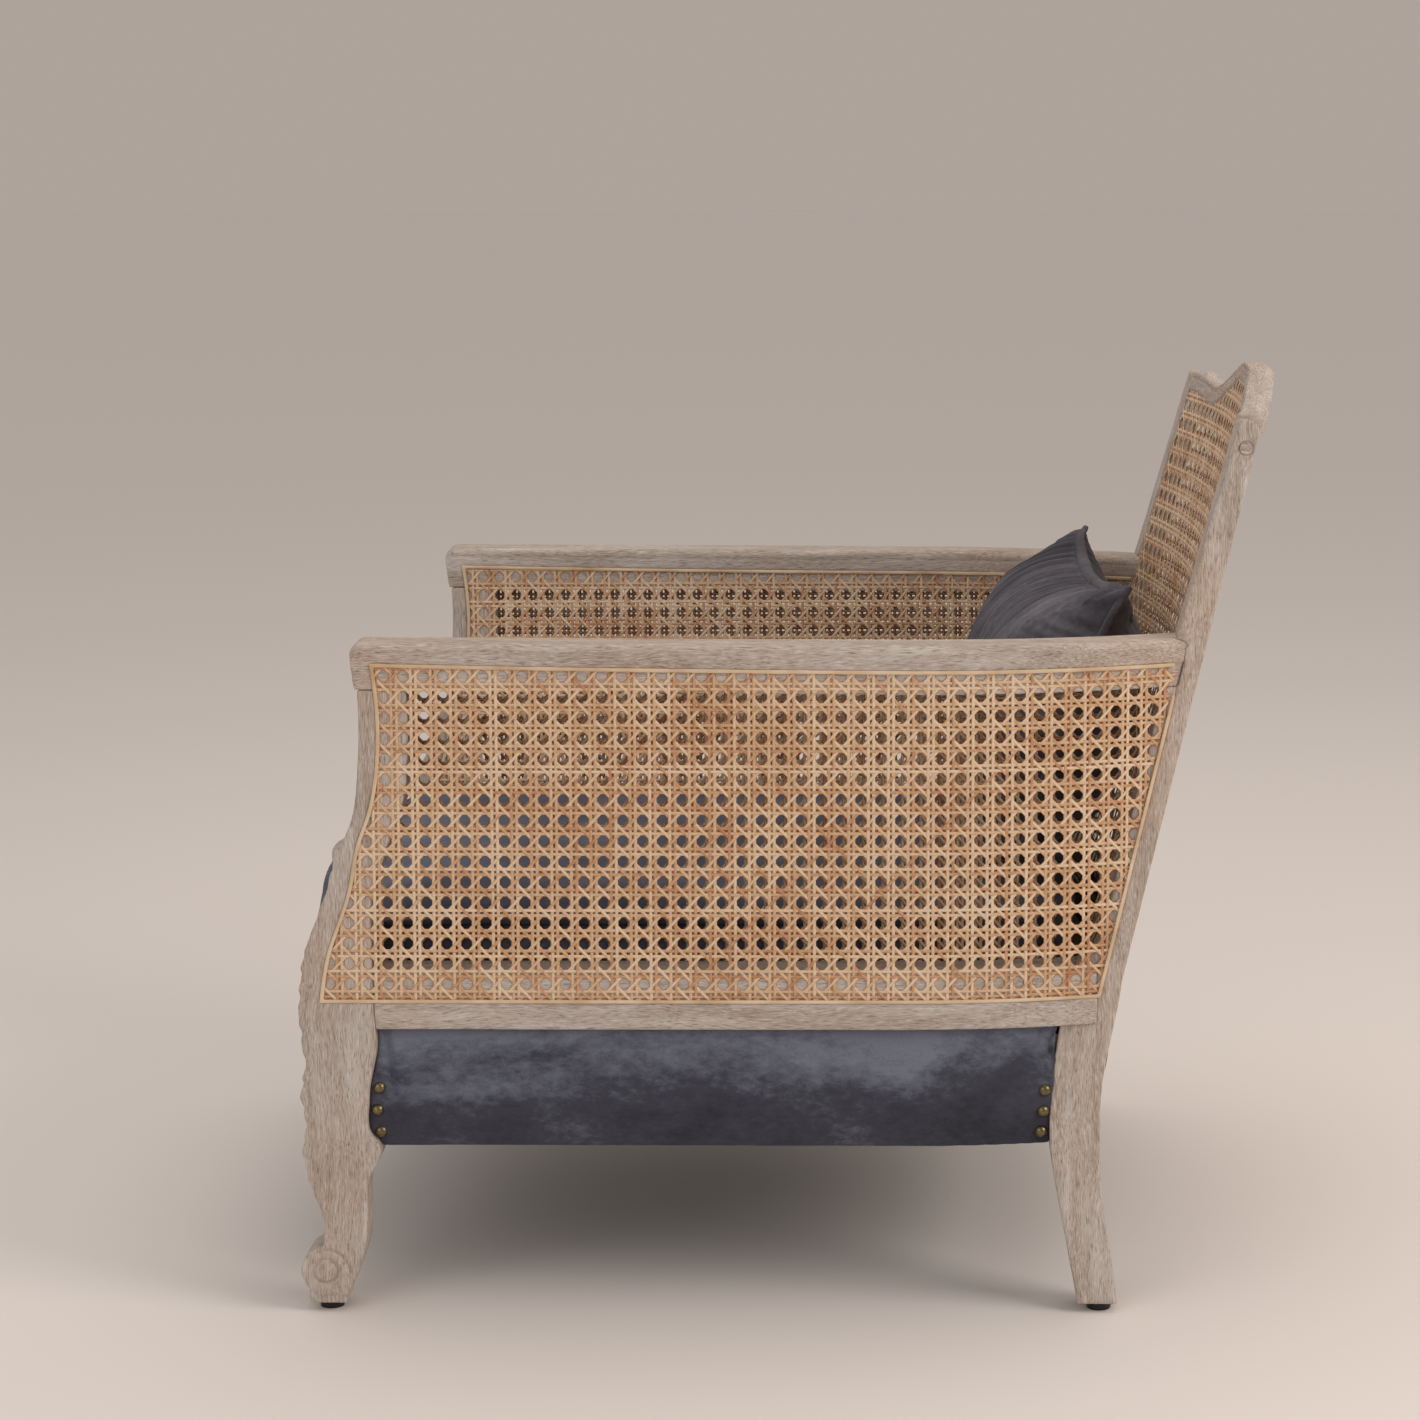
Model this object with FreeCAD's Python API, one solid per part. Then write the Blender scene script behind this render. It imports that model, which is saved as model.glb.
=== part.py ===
import FreeCAD, Part
import math
import os

Vector = FreeCAD.Vector

# A low lounge armchair with a carved wooden frame, double-sided cane sides and
# back, a velvet-covered seat frame, a loose seat cushion and a scatter cushion.
# Millimetres. X to the sitter's left (the side shown), -Y to the front, +Z up.
# While the pieces are made, Y = 0 is the front of the scroll feet. At the end
# everything moves so that the origin is the middle of the footprint, on the floor.

# Plan of the frame
overall_width = 700.0
frame_thickness = 45.0
bend_start = 560.0
bend_radius = 737.0
back_sag = 28.0
front_bow = 39.0

# Heights
glide_height = 9.0
seat_rail_bottom = 159.0
seat_rail_top = 258.0
side_rail_bottom = 272.0
side_rail_face = 25.0
arm_height = 634.0
arm_fall = 5.0
arm_face_front = 18.0
arm_face_rear = 22.0
arm_block_depth = 43.0
arm_corner_radius = 11.0
arm_edge_radius = 7.0
crest_shoulder = 831.0
crest_dip_drop = 6.0
crest_rise = 32.0
crest_face = 18.0

# Rear posts and back
post_width = 40.0
post_inset = 5.0
post_lean = 4.0
rear_rake = 0.248
rear_edge_at_rail = 762.0
post_hidden_width = 30.0
post_seen_width = 16.3
stile_width_at_arm = 28.6
stile_width_at_top = 21.4
post_depth = 62.0
back_set_in = 36.0
back_rake = 0.27
back_thickness = 26.0

# Front legs
leg_depth = 76.0
leg_joint_set_in = 3.0
scroll_radius = 23.1
scroll_button_radius = 9.8
plinth_height = 8.0
ankle_narrowing = 5.0

# Cane and the spline that holds it
cane_recess = 2.5
cane_thickness = 1.5
opening_columns = 12
opening_rows = 5
opening_share = 0.62
spline_width = 3.7
spline_proud = 0.8
rabbet_side = 30.0
rabbet_top = 23.0
rabbet_bottom = 30.0

# Seat frame
front_rail_thickness = 28.0
rear_rail_thickness = 26.0
rear_rail_set_in = 56.0
side_seat_rail_outer = 16.0
side_seat_rail_thickness = 26.0
apron_drop = 7.0
apron_set_back = 14.0
apron_arch = 30.0
corner_block_leg = 72.0
corner_block_height = 60.0
screw_radius = 2.4
screw_length = 46.0
dowel_radius = 5.0
dowel_length = 46.0
crest_peg_radius = 6.0
crest_peg_length = 52.0

# Upholstery
border_crown = 12.0
border_edge = 4.0
cover_thickness = 1.6
nail_radius = 5.6
nail_rise = 3.6
nail_shank_radius = 0.8
nail_shank_length = 15.0
webbing_width = 50.0
webbing_thickness = 2.0
deck_pad_thickness = 6.0
deck_cloth_thickness = 1.6
dust_cover_thickness = 1.2
glide_radius = 13.0

# Seat cushion, as a box cushion with a bowed front
seat_clearance = 1.5
rest_gap = 0.3
cushion_edge_height = 100.0
cushion_crown = 10.0
cushion_front_bow = 43.0
cushion_front_side = 24.0
cushion_front_swell = 4.0
cushion_draw_in = 10.0
cushion_corner_radius = 26.0
cushion_rear_y = 702.0
piping_width = 6.0

# Scatter cushion
pillow_width = 474.0
pillow_height = 306.0
pillow_thickness = 176.0
pillow_draw_in = 17.0
pillow_piping_width = 8.0
pillow_tilt = 70.0
pillow_centre_x = -12.0
pillow_centre_y = 716.0
pillow_gap = 0.4
pillow_seat_drop = 4.5

# Lengths worked out from the sizes above
half_width = overall_width / 2.0
front_joint_y = leg_depth - leg_joint_set_in
reach = half_width - frame_thickness
cane_bottom = side_rail_bottom + side_rail_face
cane_top_front = arm_height - arm_face_front
cane_top_rear = arm_height - arm_fall - arm_face_rear + 1.0
beyond_rear = 1.18 * rear_edge_at_rail
side_from, side_to = half_width - 3.0 * frame_thickness, half_width + 0.1 * frame_thickness
block_bottom = arm_height - arm_block_depth
rear_rail_y = rear_edge_at_rail - rear_rail_set_in
rear_rail_centre_y = rear_rail_y + rear_rail_thickness + back_sag
back_radius_half = half_width - post_inset - post_width - 40.0
back_radius = (back_radius_half ** 2 + back_sag ** 2) / (2.0 * back_sag)
lean_slope = math.tan(math.radians(post_lean))
low, high = -0.08 * rear_edge_at_rail, 1.5 * crest_shoulder
back_from, back_length = 0.6 * rear_edge_at_rail, 0.9 * rear_edge_at_rail

parts = {}


def yz(x):
    return lambda y, z: Vector(x, y, z)


def xz(y):
    return lambda x, z: Vector(x, y, z)


def xy(z):
    return lambda x, y: Vector(x, y, z)


def outline(place, start, *steps):
    # A closed face. A step is a point (straight edge), ("curve", points) for a smooth
    # edge through points, or ("arc", middle, end).
    edges = []
    last = place(*start)
    for step in steps:
        if step[0] == "curve":
            through = [last] + [place(*p) for p in step[1]]
            spline = Part.BSplineCurve()
            spline.interpolate(through)
            edges.append(spline.toShape())
            last = through[-1]
        elif step[0] == "arc":
            end = place(*step[2])
            edges.append(Part.Arc(last, place(*step[1]), end).toShape())
            last = end
        else:
            end = place(*step)
            edges.append(Part.LineSegment(last, end).toShape())
            last = end
    first = place(*start)
    if last.distanceToPoint(first) > 0.001:
        edges.append(Part.LineSegment(last, first).toShape())
    return Part.Face(Part.Wire(edges))


def along_x(face, length):
    return face.extrude(Vector(length, 0, 0))


def along_y(face, length):
    return face.extrude(Vector(0, length, 0))


def along_z(face, length):
    return face.extrude(Vector(0, 0, length))


def box(x0, y0, z0, x1, y1, z1):
    return Part.makeBox(x1 - x0, y1 - y0, z1 - z0, Vector(x0, y0, z0))


def mirrored(shape):
    return shape.mirror(Vector(0, 0, 0), Vector(1, 0, 0))


def one_solid(shape):
    # The largest solid of a cut, which drops nothing but slivers.
    solids = sorted(shape.Solids, key=lambda s: s.Volume)
    return solids[-1]


def side_inset(y):
    # How far the sides have curved inwards at this depth
    if y <= bend_start:
        return 0.0
    run = y - bend_start
    return bend_radius - math.sqrt(bend_radius ** 2 - run ** 2)


def side_strip(outer, inner, z0=low, z1=high):
    # The space between two offsets from the outer face of the side frame: straight, then an arc
    turn = math.radians(26.0)
    cx, cy = half_width - bend_radius, bend_start

    def at(offset, angle):
        r = bend_radius - offset
        return (cx + r * math.cos(angle), cy + r * math.sin(angle))

    face = outline(
        xy(z0),
        (half_width - outer, low),
        (half_width - outer, cy),
        ("arc", at(outer, turn / 2), at(outer, turn)),
        at(inner, turn),
        ("arc", at(inner, turn / 2), (half_width - inner, cy)),
        (half_width - inner, low),
    )
    return along_z(face, z1 - z0)


def back_curve_y(x):
    # How far behind its own ends' chord the back's plan curve lies
    return back_sag - (back_radius - math.sqrt(back_radius ** 2 - x ** 2))


def back_front_y(z):
    # Front of the back's strip on the chord, at this height
    return rear_edge_at_rail - back_set_in + back_rake * (z - cane_bottom)


def back_strip(front, rear, z0, z1):
    # The raked, hollow-curved slab that the back's members are cut from
    y0 = back_front_y(z0)
    side = back_curve_y(reach)
    face = outline(
        xy(z0),
        (-reach, y0 + front + side),
        ("arc", (0, y0 + front + back_sag), (reach, y0 + front + side)),
        (reach, y0 + rear + side),
        ("arc", (0, y0 + rear + back_sag), (-reach, y0 + rear + side)),
    )
    height = z1 - z0
    return face.extrude(Vector(0, back_rake * height, height))


def rear_edge(z):
    return rear_edge_at_rail + rear_rake * (z - cane_bottom + rest_gap)


def stile_inner_x(z):
    return half_width - post_inset - post_width - lean_slope * z


def up(f):
    # Height between the bottom of the cane and the arm block
    return cane_bottom + f * (block_bottom - cane_bottom)


def down(f):
    # Height between the floor glide and the bottom of the side rail
    return glide_height + f * (side_rail_bottom - glide_height)


def cane_front_points(shift=0.0):
    # Front edge of the side cane, an S that leans forward at its foot
    rows = (
        (0.263, -0.08),
        (0.304, 0.0),
        (0.400, 0.136),
        (0.583, 0.26),
        (0.684, 0.335),
        (0.808, 0.475),
        (0.911, 0.54),
        (1.043, 0.69),
        (1.068, 0.815),
        (1.043, 0.92),
        (1.001, 1.0),
        (0.967, 1.07),
    )
    height = cane_top_front - cane_bottom
    return [(u * leg_depth + shift, cane_bottom + f * height) for u, f in rows]


def cane_top_points(drop=0.0):
    # Upper edge of the side cane, which falls a little towards the rear
    fall = cane_top_front - cane_top_rear
    return [
        (0.26 * leg_depth, cane_top_front + 0.1 * fall - drop),
        (0.57 * bend_start, cane_top_front - 0.65 * fall - drop),
        (bend_start, cane_top_rear - drop),
        (beyond_rear, cane_top_rear - drop),
    ]


def cane_rear_y(z):
    return rear_edge(z) - post_seen_width


def cane_front_y(z):
    # How far back the front edge of the side cane stands at this height
    points = cane_front_points()
    for (y0, z0), (y1, z1) in zip(points, points[1:]):
        if z0 <= z <= z1:
            return y0 + (y1 - y0) * (z - z0) / (z1 - z0)
    return points[-1][0]


def cane_openings(x0, x1):
    # Coarse grid of round openings that stands for the open weave of the outer cane
    holes = []
    row_step = (cane_top_rear - cane_bottom) / opening_rows
    for row in range(opening_rows):
        z = cane_bottom + (row + 0.5) * row_step
        near = cane_front_y(z)
        column_step = (cane_rear_y(z) - near) / opening_columns
        radius = 0.5 * opening_share * min(column_step, row_step)
        for column in range(opening_columns):
            y = near + (column + 0.5) * column_step
            holes.append(Part.makeCylinder(radius, x1 - x0, Vector(x0, y, z), Vector(1, 0, 0)))
    return Part.makeCompound(holes)


def side_area(grow, x0, x1):
    # The side cane's outline as a block along X, drawn in all round by grow
    front = cane_front_points(grow)
    right_of_front = along_x(
        outline(
            yz(x0), front[0], ("curve", front[1:]), (beyond_rear, front[-1][1]), (beyond_rear, front[0][1])
        ),
        x1 - x0,
    )
    bottom = cane_bottom + grow
    top = cane_top_points(grow)
    quad = along_x(
        outline(
            yz(x0),
            (low, bottom),
            (cane_rear_y(bottom) - grow, bottom),
            (cane_rear_y(arm_height) - grow, arm_height),
            (low, arm_height),
        ),
        x1 - x0,
    )
    below_top = along_x(
        outline(yz(x0), top[0], ("curve", top[1:]), (beyond_rear, low), (top[0][0], low)), x1 - x0
    )
    return right_of_front.common(quad).common(below_top)


def leg_points(*rows):
    # Points of the leg's outline, given as shares of its depth
    return [(u * leg_depth, z) for u, z in rows]


def front_post():
    # Post and cabriole leg in one, cut from a board and rounded into a scroll foot
    front_edge = leg_points(
        (0.858, up(0.87)),
        (0.832, up(0.747)),
        (0.734, up(0.58)),
        (0.617, up(0.506)),
        (0.493, up(0.42)),
        (0.353, up(0.31)),
        (0.182, up(0.198)),
        (0.072, up(0.04)),
        (0.086, down(0.955)),
        (0.121, down(0.885)),
        (0.061, down(0.76)),
        (0.109, down(0.64)),
        (0.061, down(0.57)),
        (0.086, down(0.475)),
        (0.146, down(0.407)),
        (0.243, down(0.338)),
        (0.279, down(0.235)),
    )
    rear_edge_points = leg_points(
        (0.747, down(0.155)),
        (0.825, down(0.27)),
        (0.825, down(0.373)),
        (0.855, down(0.45)),
        (1.000, down(0.535)),
        (0.993, down(0.58)),
        (0.895, down(0.62)),
        (0.874, down(0.70)),
        (0.899, down(0.79)),
        (0.968, down(0.885)),
        (0.983, down(1.0)),
    )
    hidden = [(y + rabbet_side, z) for y, z in cane_front_points()[5:10]]
    scroll_y = scroll_radius
    scroll_z = glide_height + plinth_height + scroll_radius
    body = outline(
        yz(half_width - frame_thickness),
        (0.85 * leg_depth, block_bottom),
        ("curve", front_edge),
        (scroll_y, scroll_z),
        (0.53 * leg_depth, glide_height + plinth_height),
        (0.583 * leg_depth, glide_height + plinth_height),
        ("curve", rear_edge_points),
        (front_joint_y, up(0.1)),
        (front_joint_y, up(0.27)),
        ("curve", hidden[:3]),
        ("curve", hidden[3:4] + [(hidden[4][0], block_bottom)]),
    )
    post = along_x(body, frame_thickness)
    scroll = Part.makeCylinder(
        scroll_radius,
        frame_thickness,
        Vector(half_width - frame_thickness, scroll_y, scroll_z),
        Vector(1, 0, 0),
    )
    button = Part.makeCylinder(
        scroll_button_radius,
        frame_thickness + 2.0,
        Vector(half_width - frame_thickness - 1.0, scroll_y, scroll_z),
        Vector(1, 0, 0),
    )
    plinth = box(
        half_width - frame_thickness + 1.5, 0.092 * leg_depth, glide_height,
        half_width - 1.5, 0.553 * leg_depth, glide_height + 1.5 * plinth_height,
    )
    post = post.fuse([scroll, button, plinth]).removeSplitter()
    # The leg narrows to its ankle, seen from the front
    knee, ankle, toe = down(0.62), down(0.3), down(0.2)
    waist = outline(
        xz(low),
        (half_width + 1.0, knee),
        ("curve", [(half_width + 1.0 - ankle_narrowing, ankle), (half_width + 1.0, toe)]),
        (half_width + frame_thickness, toe),
        (half_width + frame_thickness, knee),
    )
    inner_waist = outline(
        xz(low),
        (half_width - frame_thickness - 1.0, knee),
        ("curve", [
            (half_width - frame_thickness - 1.0 + ankle_narrowing, ankle),
            (half_width - frame_thickness - 1.0, toe),
        ]),
        (half_width - 2.0 * frame_thickness, toe),
        (half_width - 2.0 * frame_thickness, knee),
    )
    return one_solid(post.cut(along_y(waist, bend_start)).cut(along_y(inner_waist, bend_start)))


def post_points(*rows):
    # Points of the rear leg's outline, given as shares of its depth ahead of the rear edge
    return [(rear_edge_at_rail - u * post_depth, z) for u, z in rows]


def rear_post():
    # Raked stile and splayed rear leg in one, leaning inwards as it rises
    rear_points = post_points(
        (0.10, down(0.95)),
        (0.218, down(0.81)),
        (0.266, down(0.62)),
        (0.25, down(0.46)),
        (0.177, down(0.28)),
        (0.016, down(0.03)),
        (0.0, down(-0.08)),
    )
    front_points = post_points(
        (0.774, down(0.22)),
        (0.903, down(0.385)),
        (1.0, down(0.545)),
        (0.935, down(0.89)),
        (0.85, side_rail_bottom),
    )
    top = crest_shoulder
    shoulder = 0.65 * stile_width_at_top
    bend = cane_bottom + 0.5 * rabbet_bottom
    hidden = bend + 1.1 * rabbet_bottom
    face = outline(
        yz(half_width - post_inset - post_width),
        (rear_edge(top - shoulder), top - shoulder),
        (rear_edge(bend), bend),
        ("curve", rear_points),
        post_points((0.548, down(-0.08)))[0],
        ("curve", front_points),
        post_points((0.806, cane_bottom))[0],
        post_points((0.645, cane_bottom + rabbet_bottom))[0],
        (rear_edge(hidden) - post_hidden_width, hidden),
        (rear_edge(arm_height - arm_face_rear) - post_hidden_width, arm_height - arm_face_rear),
        (rear_edge(arm_height) - stile_width_at_arm, arm_height),
        (rear_edge(top) - stile_width_at_top, top),
        (
            "arc",
            (rear_edge(top) - 0.28 * stile_width_at_top, top - 0.14 * stile_width_at_top),
            (rear_edge(top - shoulder), top - shoulder),
        ),
    )
    post = along_x(face, post_width)
    post.rotate(Vector(half_width - post_inset, 0, 0), Vector(0, 1, 0), -post_lean)
    return one_solid(post.cut(box(0, 0, 2.0 * low, overall_width, high, glide_height)))


def arm_rail():
    # Arm with a turned-down front block, rounded along its top edges
    corner = arm_corner_radius
    tip = 0.76 * leg_depth
    under = cane_top_points(rabbet_top)
    arm_end = arm_height - arm_fall
    profile = outline(
        yz(0),
        (tip + corner, arm_height),
        ("arc", (tip + 0.3 * corner, arm_height - 0.3 * corner), (tip, arm_height - corner)),
        (tip + 0.053 * leg_depth, block_bottom),
        (cane_front_points()[9][0] + rabbet_side, block_bottom),
        ("curve", [under[1], under[2], (cane_rear_y(under[3][1]), under[3][1])]),
        (cane_rear_y(arm_end), arm_end),
    )
    arm = along_x(profile, half_width).common(side_strip(0.0, frame_thickness))
    arm = one_solid(arm)
    edges = []
    for edge in arm.Edges:
        middle = edge.CenterOfMass
        long_enough = edge.Length > 0.2 * bend_start
        on_top = middle.z > arm_height - arm_fall - 1.0
        if long_enough and on_top:
            edges.append(edge)
    return arm.makeFillet(arm_edge_radius, edges)


def side_rail():
    # Straight-grained rail under the side cane, between the posts
    face = outline(
        yz(0),
        (front_joint_y - 0.3 * leg_depth, side_rail_bottom),
        (rear_edge_at_rail - 0.3 * post_depth, side_rail_bottom),
        (rear_edge_at_rail - 0.3 * post_depth, cane_bottom + rabbet_bottom),
        (front_joint_y - 0.3 * leg_depth, cane_bottom + rabbet_bottom),
    )
    return along_x(face, half_width).common(side_strip(0.0, frame_thickness))


def crest_top_points(drop=0.0):
    # Half of the crest's serpentine top, from the middle to the shoulder
    half = stile_inner_x(crest_shoulder)
    rows = (
        (0.0, crest_rise),
        (0.10, crest_rise - 1.5),
        (0.30, 0.45 * crest_rise),
        (0.56, -crest_dip_drop),
        (0.78, -0.35 * crest_dip_drop),
        (1.02, 0.0),
    )
    return [(u * half, crest_shoulder + rise - drop) for u, rise in rows]


def crest_block(drop):
    # Everything below the crest's top line, lowered by drop, as a block along Y
    right = crest_top_points(drop)
    left = [(-x, z) for x, z in reversed(right)]
    line = left + right[1:]
    shoulder = line[-1][1]
    face = outline(
        xz(back_from),
        line[0],
        ("curve", line[1:]),
        (half_width, shoulder),
        (half_width, seat_rail_bottom),
        (-half_width, seat_rail_bottom),
        (-half_width, shoulder),
    )
    return along_y(face, back_length)


def between_stiles(margin, z0=0.0, z1=high):
    # The space between the leaning inner faces of the rear posts
    face = outline(
        xz(back_from),
        (-(stile_inner_x(z0) - margin), z0),
        (stile_inner_x(z0) - margin, z0),
        (stile_inner_x(z1) - margin, z1),
        (-(stile_inner_x(z1) - margin), z1),
    )
    return along_y(face, back_length)


def crest_rail():
    # Hollow-curved top rail between the stiles
    slab = back_strip(0.0, back_thickness, 0.84 * crest_shoulder, 1.1 * crest_shoulder)
    rail = slab.common(crest_block(0.0)).cut(crest_block(crest_face + spline_width + rabbet_top))
    return one_solid(rail.common(between_stiles(0.0)))


def back_rail():
    # Rail at the foot of the back cane
    top = cane_bottom + rabbet_bottom
    slab = back_strip(0.0, back_thickness, side_rail_bottom, top)
    return one_solid(slab.common(between_stiles(0.0)))


def back_area(grow):
    # The back cane's outline as a block along Y, drawn in all round by grow
    under_crest = crest_block(crest_face + grow)
    sides = between_stiles(grow, cane_bottom + grow)
    return under_crest.common(sides)


def back_layer(front, rear, grow):
    slab = back_strip(front, rear, side_rail_bottom, 1.1 * crest_shoulder)
    return slab.common(back_area(grow))


def front_arc_y(x, at_side, bow, reach):
    # A bowed front: at_side at x = reach, forward of it by bow at the middle
    radius = (reach ** 2 + bow ** 2) / (2.0 * bow)
    return at_side - bow + radius - math.sqrt(radius ** 2 - x ** 2)


def front_rail():
    # Bowed apron with a serpentine lower edge
    at_side = apron_set_back
    inner = at_side + front_rail_thickness
    plan = outline(
        xy(low),
        (-reach, at_side),
        ("arc", (0, at_side - front_bow), (reach, at_side)),
        (reach, inner),
        ("arc", (0, inner - front_bow), (-reach, inner)),
    )
    slab = along_z(plan, high - low)
    base = seat_rail_bottom
    right = [
        (0.131 * reach, base - 0.2 * apron_drop),
        (0.311 * reach, base + 0.55 * apron_arch),
        (0.557 * reach, base + apron_arch),
        (0.820 * reach, base + 0.6 * apron_arch),
        (reach, base + 0.1 * apron_arch),
    ]
    left = [(-x, z) for x, z in reversed(right)]
    face = outline(
        xz(2.0 * low),
        left[0],
        ("curve", left[1:] + [(0.0, base - apron_drop)] + right),
        (reach, seat_rail_top),
        (-reach, seat_rail_top),
    )
    return one_solid(slab.common(along_y(face, -4.0 * low)))


def rear_rail():
    # Curved in plan like the back, and hidden by the velvet
    side = rear_rail_y + back_curve_y(reach)
    face = outline(
        xy(seat_rail_bottom),
        (-reach, side),
        ("arc", (0, rear_rail_y + back_sag), (reach, side)),
        (reach, side + rear_rail_thickness),
        ("arc", (0, rear_rail_y + rear_rail_thickness + back_sag), (-reach, side + rear_rail_thickness)),
    )
    rail = along_z(face, side_rail_bottom - rest_gap - seat_rail_bottom)
    return rail.common(between_stiles(0.0))


def side_seat_rail():
    # Hidden rail that the side velvet is stretched over
    top = seat_rail_top + webbing_thickness
    inner = side_seat_rail_outer + side_seat_rail_thickness
    strip = side_strip(side_seat_rail_outer, inner, seat_rail_bottom, top)
    return strip.common(box(0, 0.5 * leg_depth, low, half_width, rear_rail_y + rear_rail_thickness, high))


def crowned(edge, crown, thickness):
    # Cross-section of a padded border as (depth, height) pairs for a bottom, arc and top
    z0 = seat_rail_bottom - dust_cover_thickness + thickness
    z1 = side_rail_bottom - rest_gap - thickness
    return z0, z1, edge - thickness, crown - thickness


def side_border(thickness):
    # Crowned solid that follows the side: straight, then round the bend
    z0, z1, edge, crown = crowned(border_edge, border_crown, thickness)
    base = half_width - side_seat_rail_outer
    face = outline(
        xz(0.5 * leg_depth),
        (base, z0),
        (base + edge, z0),
        ("arc", (base + crown, (z0 + z1) / 2.0), (base + edge, z1)),
        (base, z1),
    )
    length = bend_start - 0.5 * leg_depth
    straight = along_y(face, length)
    end = face.copy()
    end.translate(Vector(0, length, 0))
    bent = end.revolve(Vector(half_width - bend_radius, bend_start, 0), Vector(0, 0, 1), 16.0)
    return straight.fuse(bent).removeSplitter()


def rear_border(thickness):
    # The same along the hollow-curved rear rail
    z0, z1, edge, crown = crowned(border_edge, border_crown, thickness)
    centre_y = rear_rail_centre_y - back_radius
    base = centre_y + back_radius
    face = outline(
        yz(0),
        (base, z0),
        (base + edge, z0),
        ("arc", (base + crown, (z0 + z1) / 2.0), (base + edge, z1)),
        (base, z1),
    )
    angle = math.degrees(math.asin(reach / back_radius))
    face.rotate(Vector(0, centre_y, 0), Vector(0, 0, 1), -angle)
    return face.revolve(Vector(0, centre_y, 0), Vector(0, 0, 1), 2.0 * angle)


def border_surface(z):
    # How far the crowned border stands out from its rail at this height
    z0, z1, edge, crown = crowned(border_edge, border_crown, 0.0)
    half, rise = (z1 - z0) / 2.0, crown - edge
    radius = (half ** 2 + rise ** 2) / (2.0 * rise)
    off = z - (z0 + z1) / 2.0
    return crown - radius + math.sqrt(radius ** 2 - off ** 2)


def nail(point, way):
    # Domed upholstery nail with its shank; way points out of the cloth
    dome_radius = (nail_radius ** 2 + nail_rise ** 2) / (2.0 * nail_rise)
    ball = Part.makeSphere(dome_radius, Vector(0, 0, nail_rise - dome_radius))
    head = ball.common(box(-20, -20, 0, 20, 20, 20))
    shank = Part.makeCylinder(nail_shank_radius, nail_shank_length, Vector(0, 0, -nail_shank_length))
    whole = head.fuse(shank)
    turn = FreeCAD.Rotation(Vector(0, 0, 1), way)
    whole.Placement = FreeCAD.Placement(point, turn)
    return whole


def cushion_face(inset, z, front_push=0.0):
    # Plan of the seat cushion: bowed front, sides that follow the frame, hollow rear
    offset = frame_thickness + seat_clearance + inset
    x = half_width - offset
    at_side = cushion_front_side + inset - front_push
    bow = cushion_front_bow
    rear = cushion_rear_y - inset
    r = cushion_corner_radius
    cx, radius = half_width - bend_radius, bend_radius - offset
    angle = math.asin((rear - r - bend_start) / radius)
    half = angle / 2.0
    end_x = cx + radius * math.cos(angle)
    pull = 0.29 * r

    def front(px):
        return front_arc_y(px, at_side, bow, x)

    def rear_y(px):
        return rear + back_curve_y(px) - back_curve_y(end_x)

    right = [
        (x - pull, front(x) + pull),
        (x, at_side + r),
        (cx + radius * math.cos(half), bend_start + radius * math.sin(half)),
        (end_x, rear - r),
        (end_x - pull, rear - pull),
        (end_x - r, rear_y(end_x - r)),
    ]
    start = (-(x - r), front(x - r))
    return outline(
        xy(z),
        start,
        ("arc", (0, front(0.0)), (x - r, front(x - r))),
        ("arc", right[0], right[1]),
        (x, bend_start),
        ("arc", right[2], right[3]),
        ("arc", right[4], right[5]),
        ("arc", (0, rear_y(0.0)), (-right[5][0], right[5][1])),
        ("arc", (-right[4][0], right[4][1]), (-right[3][0], right[3][1])),
        ("arc", (-right[2][0], right[2][1]), (-x, bend_start)),
        (-x, at_side + r),
        ("arc", (-right[0][0], right[0][1]), start),
    )


def cushion_bottom():
    return seat_rail_top + 2.0 * webbing_thickness + deck_pad_thickness + deck_cloth_thickness + rest_gap


def seat_cushion(thickness, seam=0.0):
    # Box cushion: flat underneath, drawn in at its piping, swelling between, crowned on top.
    # The core is drawn in by seam at its edges, to leave room for the seam allowance.
    z0 = cushion_bottom()
    top = z0 + cushion_edge_height
    t = thickness
    near_edge = 0.14 * cushion_edge_height
    draw = cushion_draw_in
    swell = cushion_front_swell
    levels = (
        (z0 + t, 0.9 * draw + t + seam, 0.83 * swell),
        (z0 + near_edge, 0.2 * draw + t + seam, 0.92 * swell),
        (z0 + 0.5 * cushion_edge_height, t, swell),
        (top - near_edge, 0.2 * draw + t + seam, 0.17 * swell),
        (top - t, draw + t + seam, -0.33 * swell),
        (top + 0.5 * cushion_crown - t, 0.13 * reach + t, 0.0),
        (top + 0.86 * cushion_crown - t, 0.33 * reach + t, 0.0),
        (top + cushion_crown - t, 0.59 * reach + t, 0.0),
    )
    wires = [cushion_face(inset, z, push).OuterWire for z, inset, push in levels]
    return Part.makeLoft(wires, True, True)


def cushion_piping(depth):
    # A ring round the upper edge and one round the lower, reaching in by depth
    z0 = cushion_bottom()
    rings = []
    inset = 0.55 * cushion_draw_in
    upper = z0 + 0.96 * cushion_edge_height - piping_width
    for z, push in ((z0 + 0.05 * cushion_edge_height, 0.83 * cushion_front_swell), (upper, 0.0)):
        outer = along_z(cushion_face(inset - 0.5 * piping_width, z, push), piping_width)
        inner = along_z(cushion_face(inset - 0.5 * piping_width + depth, z, push), piping_width)
        rings.append(outer.cut(inner))
    return rings


def pillow_face(inset, t, draw):
    # Outline of the scatter cushion at depth t from its seam, with hollow edges
    a = pillow_width / 2.0 - inset
    b = pillow_height / 2.0 - inset
    return outline(
        xy(t),
        (-a, -b),
        ("arc", (0, -b + draw), (a, -b)),
        ("arc", (a - draw, 0), (a, b)),
        ("arc", (0, b - draw), (-a, b)),
        ("arc", (-a + draw, 0), (-a, -b)),
    )


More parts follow.
